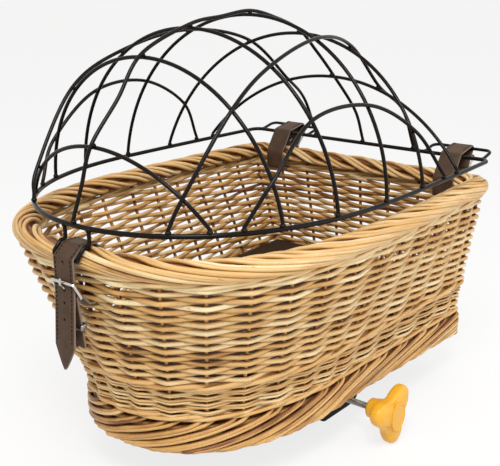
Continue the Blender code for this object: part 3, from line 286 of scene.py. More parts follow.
class MetalSettings(bpy.types.PropertyGroup):
    """Finish of the clamp and the buckles."""

    nickel: colour_property("Nickel", "Plated buckles", "#CFCBC3")
    zinc: colour_property("Zinc", "Plated rod, bolts and nuts", "#8E877E")
    enamel: colour_property("Enamel", "Black coating of the jaws and channel", "#070707")
    knob: colour_property("Knob", "Moulded plastic of the knob", "#E9AC2C")
    board: colour_property("Board", "Dark floor board", "#382A20")


class StageSettings(bpy.types.PropertyGroup):
    """Floor, light and camera."""

    floor: colour_property("Floor", "Studio floor", "#F4F4F2")
    key_power: level_property("Key light", "Power of the key light in watts", 27.0)
    fill_power: level_property("Fill light", "Power of the fill light in watts", 7.0)
    ambient: level_property("Ambient", "Strength of the surrounding light", 0.34)


# ---------------------------------------------------------------- materials

def add_node(tree, kind, settings=None, inputs=None):
    """Add a node, set its properties, and fill or link its sockets."""
    node = tree.nodes.new(kind)
    for name, value in (settings or {}).items():
        setattr(node, name, value)
    for name, value in (inputs or {}).items():
        socket = node.inputs[name]
        if isinstance(value, bpy.types.NodeSocket):
            tree.links.new(value, socket)
        else:
            socket.default_value = value
    return node


def new_material(name, finish):
    """Make a material with a Principled shader, and return it with its tree and shader."""
    material = bpy.data.materials.new(name)
    material.use_nodes = True
    tree = material.node_tree
    shader = tree.nodes["Principled BSDF"]
    for socket, value in finish.items():
        shader.inputs[socket].default_value = value
    return material, tree, shader


def ramp(tree, factor, stops):
    """A colour ramp through (place, linear colour) stops."""
    node = add_node(tree, "ShaderNodeValToRGB", inputs={"Fac": factor})
    elements = node.color_ramp.elements
    while len(elements) < len(stops):
        elements.new(0.5)
    for element, (place, colour) in zip(elements, stops):
        element.position = place
        element.color = (*colour, 1.0)
    return node.outputs["Color"]


def scaled(colour, factor):
    """A linear colour made lighter or darker."""
    return tuple(min(value * factor, 1.0) for value in colour)


def blended(first, second, share):
    """A colour between two linear colours."""
    return tuple(a + (b - a) * share for a, b in zip(first, second))


def mapped(tree, value, low, high, start=0.0, end=1.0):
    """A value moved from between start and end to between low and high."""
    return add_node(tree, "ShaderNodeMapRange", inputs={"Value": value, "From Min": start, "From Max": end,
                                                        "To Min": low, "To Max": high}).outputs[0]


def noise(tree, place, scale, detail, roughness=0.5):
    """Cloudy noise between 0 and 1."""
    return add_node(tree, "ShaderNodeTexNoise", inputs={"Vector": place, "Scale": scale, "Detail": detail,
                                                        "Roughness": roughness}).outputs["Fac"]


def attribute(tree, name, output="Fac"):
    """A value that the mesh stores at its points."""
    return add_node(tree, "ShaderNodeAttribute", {"attribute_name": name}).outputs[output]


def object_place(tree):
    """Places in metres on the object."""
    return add_node(tree, "ShaderNodeTexCoord").outputs["Object"]


def mixed_colour(tree, share, first, second):
    """A colour socket with a linear colour blended into it."""
    return add_node(tree, "ShaderNodeMix", {"data_type": "RGBA"},
                    {"Factor": share, "A": first, "B": (*second, 1.0)}).outputs["Result"]


def dress(tree, shader, colour, height, strength, depth, gloss=None):
    """Give a shader its colour, its relief with a depth in metres, and a roughness that changes over it."""
    relief = {"Strength": strength, "Distance": depth, "Height": height}
    bump = add_node(tree, "ShaderNodeBump", inputs=relief)
    tree.links.new(colour, shader.inputs["Base Color"])
    tree.links.new(bump.outputs[0], shader.inputs["Normal"])
    if gloss is not None:
        tree.links.new(gloss, shader.inputs["Roughness"])


def peeled_willow(name, settings):
    """Peeled willow rods: silky wood whose tone drifts along each rod, with fine grain and small knots.

    The grain runs along the rod. A grain line is 0.5 mm wide and 30 mm long, and the tone drifts every 60 mm.
    """
    material, tree, shader = new_material(name, {"Roughness": 0.44, "IOR": 1.5, "Specular IOR Level": 0.42})
    # The tone holds each rod's own tone, with painted shade added along its touching and inner sides
    tone, run = attribute(tree, "tone"), attribute(tree, "grain", "Vector")
    figure = {}
    for key, across, along in (("grain", 0.5, 30.0), ("drift", 30.0, 60.0), ("knots", 3.0, 5.0)):
        scale = (1 / across, 1 / across, 1 / along)
        stretched = add_node(tree, "ShaderNodeVectorMath", {"operation": "MULTIPLY"}, {0: run, 1: scale})
        figure[key] = noise(tree, stretched.outputs[0], 1.0, 3.0, 0.6)
    for key, change in (("drift", 0.17), ("grain", 0.13)):
        shift = mapped(tree, figure[key], -change, change, 0.3, 0.7)
        tone = add_node(tree, "ShaderNodeMath", {"operation": "ADD"}, {0: tone, 1: shift}).outputs[0]
    pale, golden, brown = tuple(settings.pale), tuple(settings.golden), tuple(settings.brown)
    wood = ramp(tree, tone, ((0.0, pale), (0.42, blended(pale, golden, 0.72)), (0.68, golden),
                             (0.9, blended(golden, brown, 0.7)), (1.0, brown)))
    knot = mapped(tree, figure["knots"], 0.0, 0.6, 0.66, 0.76)
    spotted = mixed_colour(tree, knot, wood, blended(brown, (0, 0, 0), 0.45))
    dress(tree, shader, spotted, figure["grain"], 0.5, 0.25 * MM)
    return material


def grained_leather(name, colour):
    """Dyed cow leather: a pebbled grain of about 1 mm, drawn at 1.2 mm to show, with painted edge highlights.
    """
    material, tree, shader = new_material(name, {"Roughness": 0.5, "IOR": 1.5, "Specular IOR Level": 0.2})
    place = object_place(tree)
    pebble = add_node(tree, "ShaderNodeTexVoronoi", {"feature": "DISTANCE_TO_EDGE"},
                      {"Vector": place, "Scale": 1 / (1.2 * MM)}).outputs["Distance"]
    patch = noise(tree, place, 1 / (12 * MM), 4.0)
    base = ramp(tree, patch, ((0.3, scaled(colour, 0.8)), (0.7, scaled(colour, 1.3))))
    # Paler along the edges: a painted highlight, from the tone that belt() stores
    edged = mixed_colour(tree, attribute(tree, "tone"), base, blended(colour, (0.9, 0.75, 0.65), 0.22))
    dress(tree, shader, edged, pebble, 0.55, 0.2 * MM, mapped(tree, patch, 0.42, 0.66))
    return material


GLOSS_CHANGE = 0.06


def speckled(name, colour, finish, grit, depth, lift=0.1):
    """A plain hard finish with a fine texture of the given grit in millimetres and a slight change of gloss.

    The grit is the size of the grains that the eye catches: orange peel in a coating, sparkle in a plating.
    """
    material, tree, shader = new_material(name, finish)
    place = object_place(tree)
    fine, broad = noise(tree, place, 1 / (grit * MM), 3.0), noise(tree, place, 1 / (20 * MM), 2.0)
    shade = ramp(tree, broad, ((0.3, scaled(colour, 1 - lift)), (0.7, scaled(colour, 1 + lift / 2))))
    rough = finish["Roughness"]
    gloss = mapped(tree, broad, rough - GLOSS_CHANGE, rough + GLOSS_CHANGE)
    dress(tree, shader, shade, fine, 0.4, depth * MM, gloss)
    return material


def dark_board(name, colour):
    """Hardboard: matt and dark, with long faint grain 2 mm wide along the basket."""
    material, tree, shader = new_material(name, {"Roughness": 0.62, "IOR": 1.5, "Specular IOR Level": 0.12})
    stretched = add_node(tree, "ShaderNodeVectorMath", {"operation": "MULTIPLY"},
                         {0: object_place(tree), 1: (0.06, 1.0, 1.0)})
    grain = noise(tree, stretched.outputs[0], 1 / (2 * MM), 5.0, 0.65)
    shade = ramp(tree, grain, ((0.3, scaled(colour, 0.6)), (0.7, scaled(colour, 1.4))))
    dress(tree, shader, shade, grain, 0.4, 0.3 * MM)
    return material


# ---------------------------------------------------------------- rods and shell

def unit(vectors):
    """Rows of vectors, each made one long."""
    return vectors / np.maximum(np.linalg.norm(vectors, axis=-1, keepdims=True), 1e-12)


def tangents(line, closed=False):
    """Directions along a line of points."""
    return unit(np.roll(line, -1, 0) - np.roll(line, 1, 0) if closed else np.gradient(line, axis=0))


def running(line):
    """Running length at each point of a line."""
    return np.concatenate([[0.0], np.cumsum(np.linalg.norm(np.diff(line, axis=0), axis=1))])


def skin(index, closed=False):
    """Faces that join rows of point numbers round a section, with a flat face over each open end."""
    here, ahead = (index, np.roll(index, -1, 0)) if closed else (index[:-1], index[1:])
    quads = np.stack([here, np.roll(here, -1, 1), np.roll(ahead, -1, 1), ahead], -1)
    ends = [] if closed else [index[0][::-1].tolist(), index[-1].tolist()]
    return quads.reshape(-1, 4).tolist() + ends


def swept_mesh(name, rows):
    """A mesh that joins rows of points, each row once round a section."""
    rows = np.array(rows, float)
    mesh = bpy.data.meshes.new(name)
    index = np.arange(rows.shape[0] * rows.shape[1]).reshape(rows.shape[:2])
    mesh.from_pydata(rows.reshape(-1, 3).tolist(), [], skin(index))
    return mesh


def mesh_of(shape, name):
    """A mesh made of a bmesh, which is freed."""
    mesh = bpy.data.meshes.new(name)
    shape.to_mesh(mesh)
    shape.free()
    return mesh


GRAIN_SHIFT = (7.3, 3.1, 977.0)


class Strands:
    """Rods laid one after another into one mesh, browner inside and where they touch, as painted shade."""

    def __init__(self, sides, dark_sides=0.0):
        self.turn = 2 * math.pi * np.arange(sides) / sides
        self.dark_sides = dark_sides
        self.points, self.faces, self.tones, self.grain = [], [], [], []
        self.total = 0

    def lay(self, line, outward, half_height, half_depth, tone, closed=False, seed=0.0):
        """Add a rod along a line. Its tone runs from 0, pale, to 1, dark."""
        line = np.asarray(line, float)
        count, sides = len(line), len(self.turn)
        tangent = tangents(line, closed)
        outward = np.broadcast_to(np.asarray(outward, float), line.shape)
        side = unit(outward - (outward * tangent).sum(1)[:, None] * tangent)
        up = np.cross(tangent, side)
        out = np.cos(self.turn) * np.broadcast_to(half_depth, count)[:, None]
        rise = np.sin(self.turn) * np.broadcast_to(half_height, count)[:, None]
        ring = line[:, None] + side[:, None] * out[..., None] + up[:, None] * rise[..., None]
        run = np.broadcast_to(running(line)[:, None], out.shape)
        grain = np.stack([out, rise, run], -1) / MM + seed * np.array(GRAIN_SHIFT)
        self.faces += skin(self.total + np.arange(count * sides).reshape(count, sides), closed)
        # Painted shade: lighter on the outer face, darker along the sides that touch the rods above and
        # below, and darker on the inner side
        painted_shade = np.sin(self.turn) ** 4 - 0.25 + 0.6 * np.clip(-np.cos(self.turn), 0, 1)
        self.points.append(ring.reshape(-1, 3))
        self.tones.append((np.broadcast_to(tone, count)[:, None] + self.dark_sides * painted_shade).ravel())
        self.grain.append(grain.reshape(-1, 3))
        self.total += count * sides

    def build(self, name, material, sharp_deg=50.0):
        """Turn the rods into one object."""
        mesh = bpy.data.meshes.new(name)
        mesh.from_pydata(np.concatenate(self.points).tolist(), [], self.faces)
        write_attribute(mesh, "tone", "FLOAT", np.concatenate(self.tones))
        write_attribute(mesh, "grain", "FLOAT_VECTOR", np.concatenate(self.grain))
        return as_object(name, mesh, material, sharp_deg)


def write_attribute(mesh, name, kind, values):
    """Store one value for each point of a mesh."""
    stored = mesh.attributes.new(name, kind, "POINT")
    stored.data.foreach_set("value" if kind == "FLOAT" else "vector", np.asarray(values, np.float32).ravel())


def as_object(name, mesh, material, sharp_deg=50.0):
    """Put a mesh in the scene, smooth but for its real corners."""
    mesh.materials.append(material)
    mesh.shade_smooth()
    mesh.set_sharp_from_angle(angle=math.radians(sharp_deg))
    thing = bpy.data.objects.new(name, mesh)
    bpy.context.scene.collection.objects.link(thing)
    return thing


def stand_for(piece, body, slot, *nodes):
    """Say which body a piece rides and which frame nodes it shows; the slot is not used."""
    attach(piece, body)
    if nodes:
        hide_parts(*nodes)


def ring_x(share):
    """X of a place this share of the ring's length from its back."""
    return RING_BACK_X - RING_LENGTH * share


def ring_half_width(share):
    """Half width of the ring at a share of its length from the back."""
    if share <= ROUND_START:
        swell = math.sin(math.pi / 2 * share / ROUND_START)
        return RING_BACK_HALF_WIDTH + (RING_HALF_WIDTH - RING_BACK_HALF_WIDTH) * swell
    reach = min((share - ROUND_START) / (1 - ROUND_START), 1.0)
    return RING_HALF_WIDTH * (1 - reach ** RING_FULLNESS) ** (1 / RING_FULLNESS)


def plan_line(offsets, corner, fullness):
    """Closed plan line that stands off the ring's line, anticlockwise from the middle of the back."""
    front, side, side_back, back = offsets
    back_x = RING_BACK_X + back
    back_width = RING_BACK_HALF_WIDTH + side_back
    full_width = RING_HALF_WIDTH + side
    middle_x = ring_x(ROUND_START)
    reach = RING_LENGTH * (1 - ROUND_START) + front
    steps_back, steps_corner, steps_side, steps_front = PLAN_STEPS
    along = np.arange(steps_back) / steps_back
    turn = math.pi / 2 * np.arange(steps_corner + 1) / steps_corner
    share = np.arange(1, steps_side) / steps_side
    swing = math.pi / 2 * np.arange(steps_front + 1) / steps_front
    x = [np.full(steps_back, back_x), back_x - corner + corner * np.cos(turn),
         (back_x - corner) * (1 - share) + middle_x * share,
         middle_x - reach * np.sin(swing) ** (2 / fullness)]
    y = [(back_width - corner) * along, back_width - corner + corner * np.sin(turn),
         back_width + (full_width - back_width) * np.sin(math.pi / 2 * share),
         full_width * np.clip(np.cos(swing), 0, 1) ** (2 / fullness)]
    half = np.stack([np.concatenate(x), np.concatenate(y)], 1)
    return np.concatenate([half, half[-2:0:-1] * (1, -1)])


class Shell:
    """The basket's leaning outer face, measured once round its middle height."""

    def __init__(self):
        self.levels = np.linspace(0.0, WALL_TOP, SHELL_LEVELS)
        lines = [plan_line(*self.outline(z)) for z in self.levels]
        middle = lines[SHELL_LEVELS * 2 // 3]
        gaps = np.linalg.norm(np.roll(middle, -1, 0) - middle, axis=1)
        run = np.concatenate([[0.0], np.cumsum(gaps)])
        self.girth = run[-1]
        even = self.girth * np.arange(SHELL_STEPS) / SHELL_STEPS
        places = []
        for line in lines:
            closed = np.concatenate([line, line[:1]])
            places.append(np.stack([np.interp(even, run, closed[:, k]) for k in (0, 1)], 1))
        self.places = np.array(places)
        ahead = np.roll(self.places, -NORMAL_REACH, 1) - np.roll(self.places, NORMAL_REACH, 1)
        self.normals = unit(np.stack([ahead[:, :, 1], -ahead[:, :, 0]], -1))

    @staticmethod
    def outline(z):
        """Offsets, corner radius and fullness of the outer face at a height."""
        share = float(np.interp(z / WALL_TOP, *zip(*LEAN)))
        offsets = tuple((top + WALL_BESIDE_BORDER) * (1 - share) + foot * share
                        for top, foot in zip(BORDER_OFFSETS, FOOT_OFFSETS))
        return (offsets, CORNER_TOP + (CORNER_FOOT - CORNER_TOP) * share,
                BORDER_FULLNESS + (FOOT_FULLNESS - BORDER_FULLNESS) * share)

    def at(self, along, z, out=0.0):
        """Places and outward directions at distances round the basket, heights, and depths from its face."""
        along, z, out = np.broadcast_arrays(*(np.asarray(value, float) for value in (along, z, out)))
        level = np.clip(z / WALL_TOP, 0, 1) * (SHELL_LEVELS - 1)
        low = np.minimum(level.astype(int), SHELL_LEVELS - 2)
        rise = (level - low)[:, None]
        step = (along / self.girth % 1.0) * SHELL_STEPS
        here = step.astype(int) % SHELL_STEPS
        there = (here + 1) % SHELL_STEPS
        ahead = (step - np.floor(step))[:, None]
        found = []
        for table in (self.places, self.normals):
            lower = table[low, here] * (1 - ahead) + table[low, there] * ahead
            upper = table[low + 1, here] * (1 - ahead) + table[low + 1, there] * ahead
            found.append(lower * (1 - rise) + upper * rise)
        place, normal = found[0], unit(found[1])
        flat = place + normal * out[:, None]
        return np.column_stack([flat, z]), np.column_stack([normal, np.zeros(len(z))])


SHELL = Shell()
STEP_LENGTH = 0.0043
STAKE_RADIUS = 0.0021
STAKE_POINTS = 24
STAKE_TONES = (0.8, 0.07)
BEND_SHARPNESS = 0.975
STRAIGHTNESS = 0.85
ROD_SPAN = 12
ROD_LAP = 0.013
ROD_TAPER = (1.07, 0.22)
ROD_SIZE_SPREAD = 0.07
ROD_TONE_DRIFT = 0.03
ROD_WANDER = 0.0009
TUCK_LENGTH = 0.022
TUCK_DEPTH = 0.0022
TUCK_RISE = 0.0012
WALE_RODS = 3
WALE_TURNS = 9
WALE_OUT = 0.0006
WALE_RISE = 0.95
WALE_LAG = 0.5
WALE_WANDER = 0.0003
WALE_TONE_SPREAD = 0.08
COIL_TONE_SPREAD = 0.05
HELIX_START_SPREAD = 0.0015
HELIX_SIZE_SPREAD = 0.05
HELIX_TAPER = (1.08, 0.24)
# Strength of the painted shade on the willow rods' touching and inner sides
WILLOW_DARK_SIDES = 0.34

# Tones as (mean, spread) and the lengths of each woven part
WALL_TONES = (0.46, 0.17)
WALL_ABOVE_BAND = 0.0075
WALL_BELOW_RIM = 0.0045
STAKES_BELOW_WALL = 0.002
LOW_WALE = (BAND_TOP + 0.0005, 0.0027, 0.62)
TOP_WALE = (WALL_TOP - 0.0005, 0.0026, 0.42)
BAND_TONES = (0.44, 0.16)
BAND_ABOVE_FOOT = 0.0036
BAND_BELOW_WALL = 0.0045
BAND_REACH = 0.84
PAIR_SPREAD = 0.97
STAKES_BELOW_BAND = 0.006
LEDGE_RODS = 6
LEDGE_DEPTH = -0.0172
LEDGE_START = 0.0030
LEDGE_PITCH = 0.0060
LEDGE_ROD = 0.0033
LEDGE_TONE = 0.85
RIM_TONES = (0.52, 0.11)
RIM_PAIR_INSET = 0.0140
RIM_ROD_LENGTH = 0.235
RIM_STEPS = 56
RIM_HALF_WIDTH = 0.0137
RIM_HALF_HEIGHT = 0.0120
RIM_SWELL_SPREAD = 0.03
RIM_END_SHARE = 0.07
RIM_END_THINNING = 0.3
RIM_CORE = ((-0.0035, -0.003, 0.0042), (0.0035, -0.003, 0.0042), (0.0, 0.0038, 0.0042))
RIM_CORE_TONE = 0.9
FOOT_TONES = (0.74, 0.15)
FOOT_PAIR_INSET = 0.0125
FOOT_ROD_LENGTH = 0.175
FOOT_STEPS = 40
FOOT_OUT = 0.0012
FOOT_OUT_SPREAD = 0.0004
FOOT_LEAVE = (0.10, 0.0080)
FOOT_ARRIVE = (0.14, 0.0120)
FOOT_EASE = 1.4
FOOT_CLIMB = 1.35
FOOT_ABOVE_BASE = 0.0015
FOOT_CORE = ((-0.0045, 0.0034, 0.0033),
             *((depth, rise, 0.0045) for depth in (-0.0100, -0.0170) for rise in (0.0055, 0.0140, 0.0225)),
             (-0.0130, 0.0290, 0.0028))
FOOT_CORE_TONE = 0.8
FOOT_RISE_SHARES = (0.72, 0.42)
FOOT_WALE = (BAND_BASE + 0.0020, 0.0024, 0.55)


def stake_spacing(settings):
    """Distance from stake to stake round the basket."""
    return SHELL.girth / settings.stakes


def woven_line(along, z, out, spacing):
    """Places on the wall for rods that pull straight between stakes, with a soft crease at each stake."""
    line, outward = SHELL.at(along, z, out)
    before = np.floor(along / spacing)
    share = (along / spacing - before)[:, None]
    curve = SHELL.at(along, z)[0]
    start, end = SHELL.at(before * spacing, z)[0], SHELL.at((before + 1) * spacing, z)[0]
    pull = (start * (1 - share) + end * share - curve) * STRAIGHTNESS
    line[:, :2] += pull[:, :2]
    return line, outward


def wander(along, rng, size):
    """A slow random rise and fall of a rod."""
    total = np.zeros_like(along)
    for length in (0.31, 0.13):
        total += np.sin(2 * math.pi * (along / length + rng.random())) * size / 2
    return total


def weave_row(strands, settings, row, z, half_height, half_depth, reach, rng, tones, lift=0.0):
    """One row of rods, each in front of one stake and behind the next, with its ends tucked inside.

    A rod runs nearly straight from stake to stake and bends sharply round each.
    """
    spacing = stake_spacing(settings)
    start = 2 * int(rng.integers(0, settings.stakes // 2)) + (row + 1) % 2
    for span in (ROD_SPAN, ROD_SPAN, settings.stakes - 2 * ROD_SPAN):
        first, last = start * spacing - ROD_LAP, (start + span) * spacing + ROD_LAP
        steps = int((last - first) / STEP_LENGTH)
        along = np.linspace(first, last, steps + 1)
        share = np.linspace(0, 1, steps + 1)
        tuck = np.clip(1 - np.minimum(along - first, last - along) / TUCK_LENGTH, 0, 1) ** 2
        phase = math.pi * (along / spacing + row)
        bend = np.arcsin(BEND_SHARPNESS * np.cos(phase)) / math.asin(BEND_SHARPNESS)
        size = (1 + rng.normal(0, ROD_SIZE_SPREAD)) * (ROD_TAPER[0] - ROD_TAPER[1] * share)
        height = z + lift + wander(along, rng, ROD_WANDER) + tuck * rng.choice((-1, 1)) * TUCK_RISE
        line, outward = woven_line(along, height, WALL_MIDDLE + reach * bend - tuck * TUCK_DEPTH, spacing)
        tone = np.clip(rng.normal(*tones) + rng.normal(0, ROD_TONE_DRIFT) * share, 0, 1)
        strands.lay(line, outward, half_height * size, half_depth * size, tone, seed=rng.random())
        start += span


def wale(strands, z, radius, tone, spacing, rng):
    """Three rods twisted round the stakes together, each in front of two stakes and behind one."""
    along = np.arange(0, SHELL.girth, STEP_LENGTH)
    along = along * SHELL.girth / (along[-1] + STEP_LENGTH)
    for k in range(WALE_RODS):
        phase = 2 * math.pi * (along / SHELL.girth * WALE_TURNS - k / WALE_RODS)
        out = WALL_MIDDLE + WALE_OUT + (STAKE_RADIUS + radius) * np.cos(phase)
        height = z + radius * WALE_RISE * np.sin(phase + WALE_LAG) + wander(along, rng, WALE_WANDER)
        line, outward = woven_line(along, height, out, spacing)
        shade = np.clip(tone + rng.normal(0, WALE_TONE_SPREAD), 0, 1)
        strands.lay(line, outward, radius, radius, shade, closed=True, seed=rng.random())


def stand_stakes(strands, settings, low, high, rng):
    """The upright stakes between two heights."""
    heights = np.linspace(low, high, STAKE_POINTS)
    for i in range(settings.stakes):
        line, outward = SHELL.at(i * stake_spacing(settings), heights, WALL_MIDDLE)
        line[:, 2] = heights
        tone = np.clip(rng.normal(*STAKE_TONES), 0, 1)
        strands.lay(line, outward, STAKE_RADIUS, STAKE_RADIUS, tone, seed=rng.random())


def coil_around(strands, coils, rng, tone, on_foot=False):
    """Plain rods laid all the way round, each at its (depth, height, radius)."""
    along = np.arange(0, SHELL.girth, STEP_LENGTH)
    for depth, height, radius in coils:
        line, outward = SHELL.at(along, height, depth)
        drop = foot_bottom(line[:, 0]) * max(0.0, 1 - height / BAND_BASE) if on_foot else 0.0
        line[:, 2] = height + drop
        shade = np.clip(tone + rng.normal(0, COIL_TONE_SPREAD), 0, 1)
        strands.lay(line, outward, radius, radius, shade, closed=True, seed=rng.random())


def helix_strands(strands, settings, inset, length, radius, section, rng, tones, steps):
    """Overlapping rods that climb round a section, a pair from each stake, the second an inset further on."""
    share = np.linspace(0, 1, steps + 1)
    for i in range(2 * settings.stakes):
        start = stake_spacing(settings) * (i // 2) + inset * (i % 2) + rng.normal(0, HELIX_START_SPREAD)
        line, outward = section(start + length * share, share, radius, rng)
        tone = np.clip(rng.normal(*tones), 0, 1)
        size = radius * (HELIX_TAPER[0] - HELIX_TAPER[1] * share) * (1 + rng.normal(0, HELIX_SIZE_SPREAD))
        strands.lay(line, outward, size, size, tone, seed=rng.random())


def woven_rows(low, high, pitch):
    """Numbers and heights of the rows between two heights, as near as they come to a pitch."""
    rows = round((high - low) / pitch) + 1
    return [(row, low + row * (high - low) / (rows - 1)) for row in range(rows)]


class BASKET_OT_weave_wall(bpy.types.Operator):
    """Weave the tall wall: thick rods in single rows round upright stakes"""

    bl_idname = "basket.weave_wall"
    bl_label = "Weave the Wall"

    def execute(self, context):
        settings = context.scene.basket_willow
        rng = np.random.default_rng(11)
        strands = Strands(8, WILLOW_DARK_SIDES)
        for row, z in woven_rows(BAND_TOP + WALL_ABOVE_BAND, WALL_TOP - WALL_BELOW_RIM, settings.row_pitch):
            weave_row(strands, settings, row, z, settings.rod_height / 2, settings.rod_depth / 2,
                      settings.reach, rng, WALL_TONES)
        stand_stakes(strands, settings, BAND_TOP - STAKES_BELOW_WALL, BORDER_MID_Z, rng)
        for place in (LOW_WALE, TOP_WALE):
            wale(strands, *place, stake_spacing(settings), rng)
        wall = strands.build("woven_wall", MATERIALS["willow"])
        stand_for(wall, "basket", SLOTS["willow"], "wicker_wall")
        return {"FINISHED"}


class BASKET_OT_weave_band(bpy.types.Operator):
    """Weave the lower band: thin pale rods laid in pairs, and the ledge that carries the floor"""

    bl_idname = "basket.weave_band"
    bl_label = "Weave the Lower Band"

    def execute(self, context):
        settings = context.scene.basket_willow
        rng = np.random.default_rng(12)
        strands = Strands(8, WILLOW_DARK_SIDES)
        radius = settings.band_rod / 2
        first, last = BAND_BASE + BAND_ABOVE_FOOT, BAND_TOP - BAND_BELOW_WALL
        for row, z in woven_rows(first, last, settings.band_pitch):
            for hand in (-1, 1):
                weave_row(strands, settings, row, z, radius, radius, settings.reach * BAND_REACH, rng,
                          BAND_TONES, hand * radius * PAIR_SPREAD)
        stand_stakes(strands, settings, BAND_BASE - STAKES_BELOW_BAND, BAND_TOP, rng)
        ledge = [(LEDGE_DEPTH, BAND_BASE + LEDGE_START + LEDGE_PITCH * i, LEDGE_ROD)
                 for i in range(LEDGE_RODS)]
        coil_around(strands, ledge, rng, LEDGE_TONE)
        band = strands.build("woven_band", MATERIALS["pale_willow"])
        stand_for(band, "basket", SLOTS["band"], "wicker_band")
        return {"FINISHED"}


RIM_SHARES = (0.0, 0.10, 0.34, 1.0)
RIM_ANGLES_DEG = (228.0, 175.0, 52.0, -66.0)
RIM_TABLE = np.linspace(-0.06, 1.06, 225)
RIM_SOFT = 25


def rim_angle(share):
    """Angle round the rim's section that a rod has reached, with its turns softened."""
    knots = np.interp(RIM_TABLE, RIM_SHARES, RIM_ANGLES_DEG)
    soft = np.convolve(knots, np.ones(RIM_SOFT) / RIM_SOFT, "same")
    inner = slice(RIM_SOFT // 2, -(RIM_SOFT // 2))
    return np.radians(np.interp(share, RIM_TABLE[inner], soft[inner]))


def rim_section(along, share, size, rng):
    """Places and outward directions of a rod that goes round the rim."""
    angle = rim_angle(share)
    ends = np.clip(1 - np.minimum(share, 1 - share) / RIM_END_SHARE, 0, 1)
    swell = 1 + rng.normal(0, RIM_SWELL_SPREAD) - RIM_END_THINNING * ends
    out = BORDER_MIDDLE + (RIM_HALF_WIDTH - size) * swell * np.cos(angle)
    line, outward = SHELL.at(along, WALL_TOP, out)
    line[:, 2] = BORDER_MID_Z + (RIM_HALF_HEIGHT - size) * swell * np.sin(angle)
    outward = outward * np.cos(angle)[:, None]
    outward[:, 2] = np.sin(angle)
    return line, outward


class BASKET_OT_plait_border(bpy.types.Operator):
    """Plait the rim: stakes bent over and laid in long overlapping rods"""

    bl_idname = "basket.plait_border"
    bl_label = "Plait the Rim"

    def execute(self, context):
        settings = context.scene.basket_willow
        rng = np.random.default_rng(13)
        strands = Strands(10, WILLOW_DARK_SIDES)
        helix_strands(strands, settings, RIM_PAIR_INSET, RIM_ROD_LENGTH, settings.border_rod / 2,
                      rim_section, rng, RIM_TONES, RIM_STEPS)
        core = [(BORDER_MIDDLE + depth, BORDER_MID_Z + rise, size) for depth, rise, size in RIM_CORE]
        coil_around(strands, core, rng, RIM_CORE_TONE)
        border = strands.build("plaited_rim", MATERIALS["willow"])
        stand_for(border, "basket", SLOTS["willow"], "wicker_border")
        return {"FINISHED"}


def foot_bottom(x):
    """Height of the foot's lower edge: a little lower at the rounded front than at the back."""
    low_x, high_x = (ring_x(share) for share in FOOT_RISE_SHARES)
    return FOOT_RISE * np.clip((np.asarray(x) - low_x) / (high_x - low_x), 0, 1) - FOOT_DROP


def foot_section(along, share, size, rng):
    """Places and outward directions of a rod that climbs the foot and ends inside it."""
    leave = np.clip(1 - share / FOOT_LEAVE[0], 0, 1) ** FOOT_EASE
    arrive = np.clip((share - (1 - FOOT_ARRIVE[0])) / FOOT_ARRIVE[0], 0, 1) ** FOOT_EASE
    out = FOOT_OUT - size - leave * FOOT_LEAVE[1] - arrive * FOOT_ARRIVE[1] + rng.normal(0, FOOT_OUT_SPREAD)
    line, outward = SHELL.at(along, size, out)
    bottom = foot_bottom(line[:, 0])
    line[:, 2] = bottom + size + (BAND_BASE + FOOT_ABOVE_BASE - size - bottom) * share ** FOOT_CLIMB
    return line, outward


class BASKET_OT_plait_foot(bpy.types.Operator):
    """Plait the foot: long rods that climb round the bottom edge like a rope"""

    bl_idname = "basket.plait_foot"
    bl_label = "Plait the Foot"

    def execute(self, context):
        settings = context.scene.basket_willow
        rng = np.random.default_rng(14)
        strands = Strands(10, WILLOW_DARK_SIDES)
        helix_strands(strands, settings, FOOT_PAIR_INSET, FOOT_ROD_LENGTH, settings.foot_rod / 2,
                      foot_section, rng, FOOT_TONES, FOOT_STEPS)
        coil_around(strands, FOOT_CORE, rng, FOOT_CORE_TONE, True)
        wale(strands, *FOOT_WALE, stake_spacing(settings), rng)
        foot = strands.build("plaited_foot", MATERIALS["willow"])
        stand_for(foot, "basket", SLOTS["willow"], "wicker_foot")
        return {"FINISHED"}


# ---------------------------------------------------------------- dome

def hoop_arc(i):
    """Rise, radius and half angle of a cross hoop, one round arc that stands on the ring."""
    half_width = ring_half_width(HOOP_FOOT_X[i])
    rise = RING_Z + DOME_HEIGHT * HOOP_CREST_HEIGHT[i] - FOOT_TOP_Z
    radius = (half_width ** 2 + rise ** 2) / (2 * rise)
    return rise, radius, math.atan2(half_width, radius - rise)


def on_hoop(i, angle, hand=1):
    """A place on a cross hoop, this angle of its arc down from its crest."""
    rise, radius, _ = hoop_arc(i)
    foot_x, crest_x = ring_x(HOOP_FOOT_X[i]), ring_x(HOOP_CREST_X[i])
    climb = rise - radius * (1 - math.cos(angle))
    x = foot_x + (crest_x - foot_x) * climb / rise
    return Vector((x, hand * radius * math.sin(angle), FOOT_TOP_Z + climb))


def along_hoop(i, angle, hand=1):
    """A cross hoop's direction at a place on it."""
    rise, radius, _ = hoop_arc(i)
    climb = radius * math.sin(angle)
    lean_x = ring_x(HOOP_CREST_X[i]) - ring_x(HOOP_FOOT_X[i])
    return Vector((lean_x * climb / rise, -hand * radius * math.cos(angle), climb))


def laid_over(knots, hoops):
    """Lift a wire's knots off the hoops it crosses, so that the wires lie on each other."""
    lifted = list(knots)
    for place, direction in hoops.items():
        normal = (knots[place + 1] - knots[place - 1]).cross(direction).normalized()
        if normal.z < 0:
            normal = -normal
        lifted[place] = knots[place] + normal * (2 * HOOP_WIRE + SEAT_GAP)
    return lifted


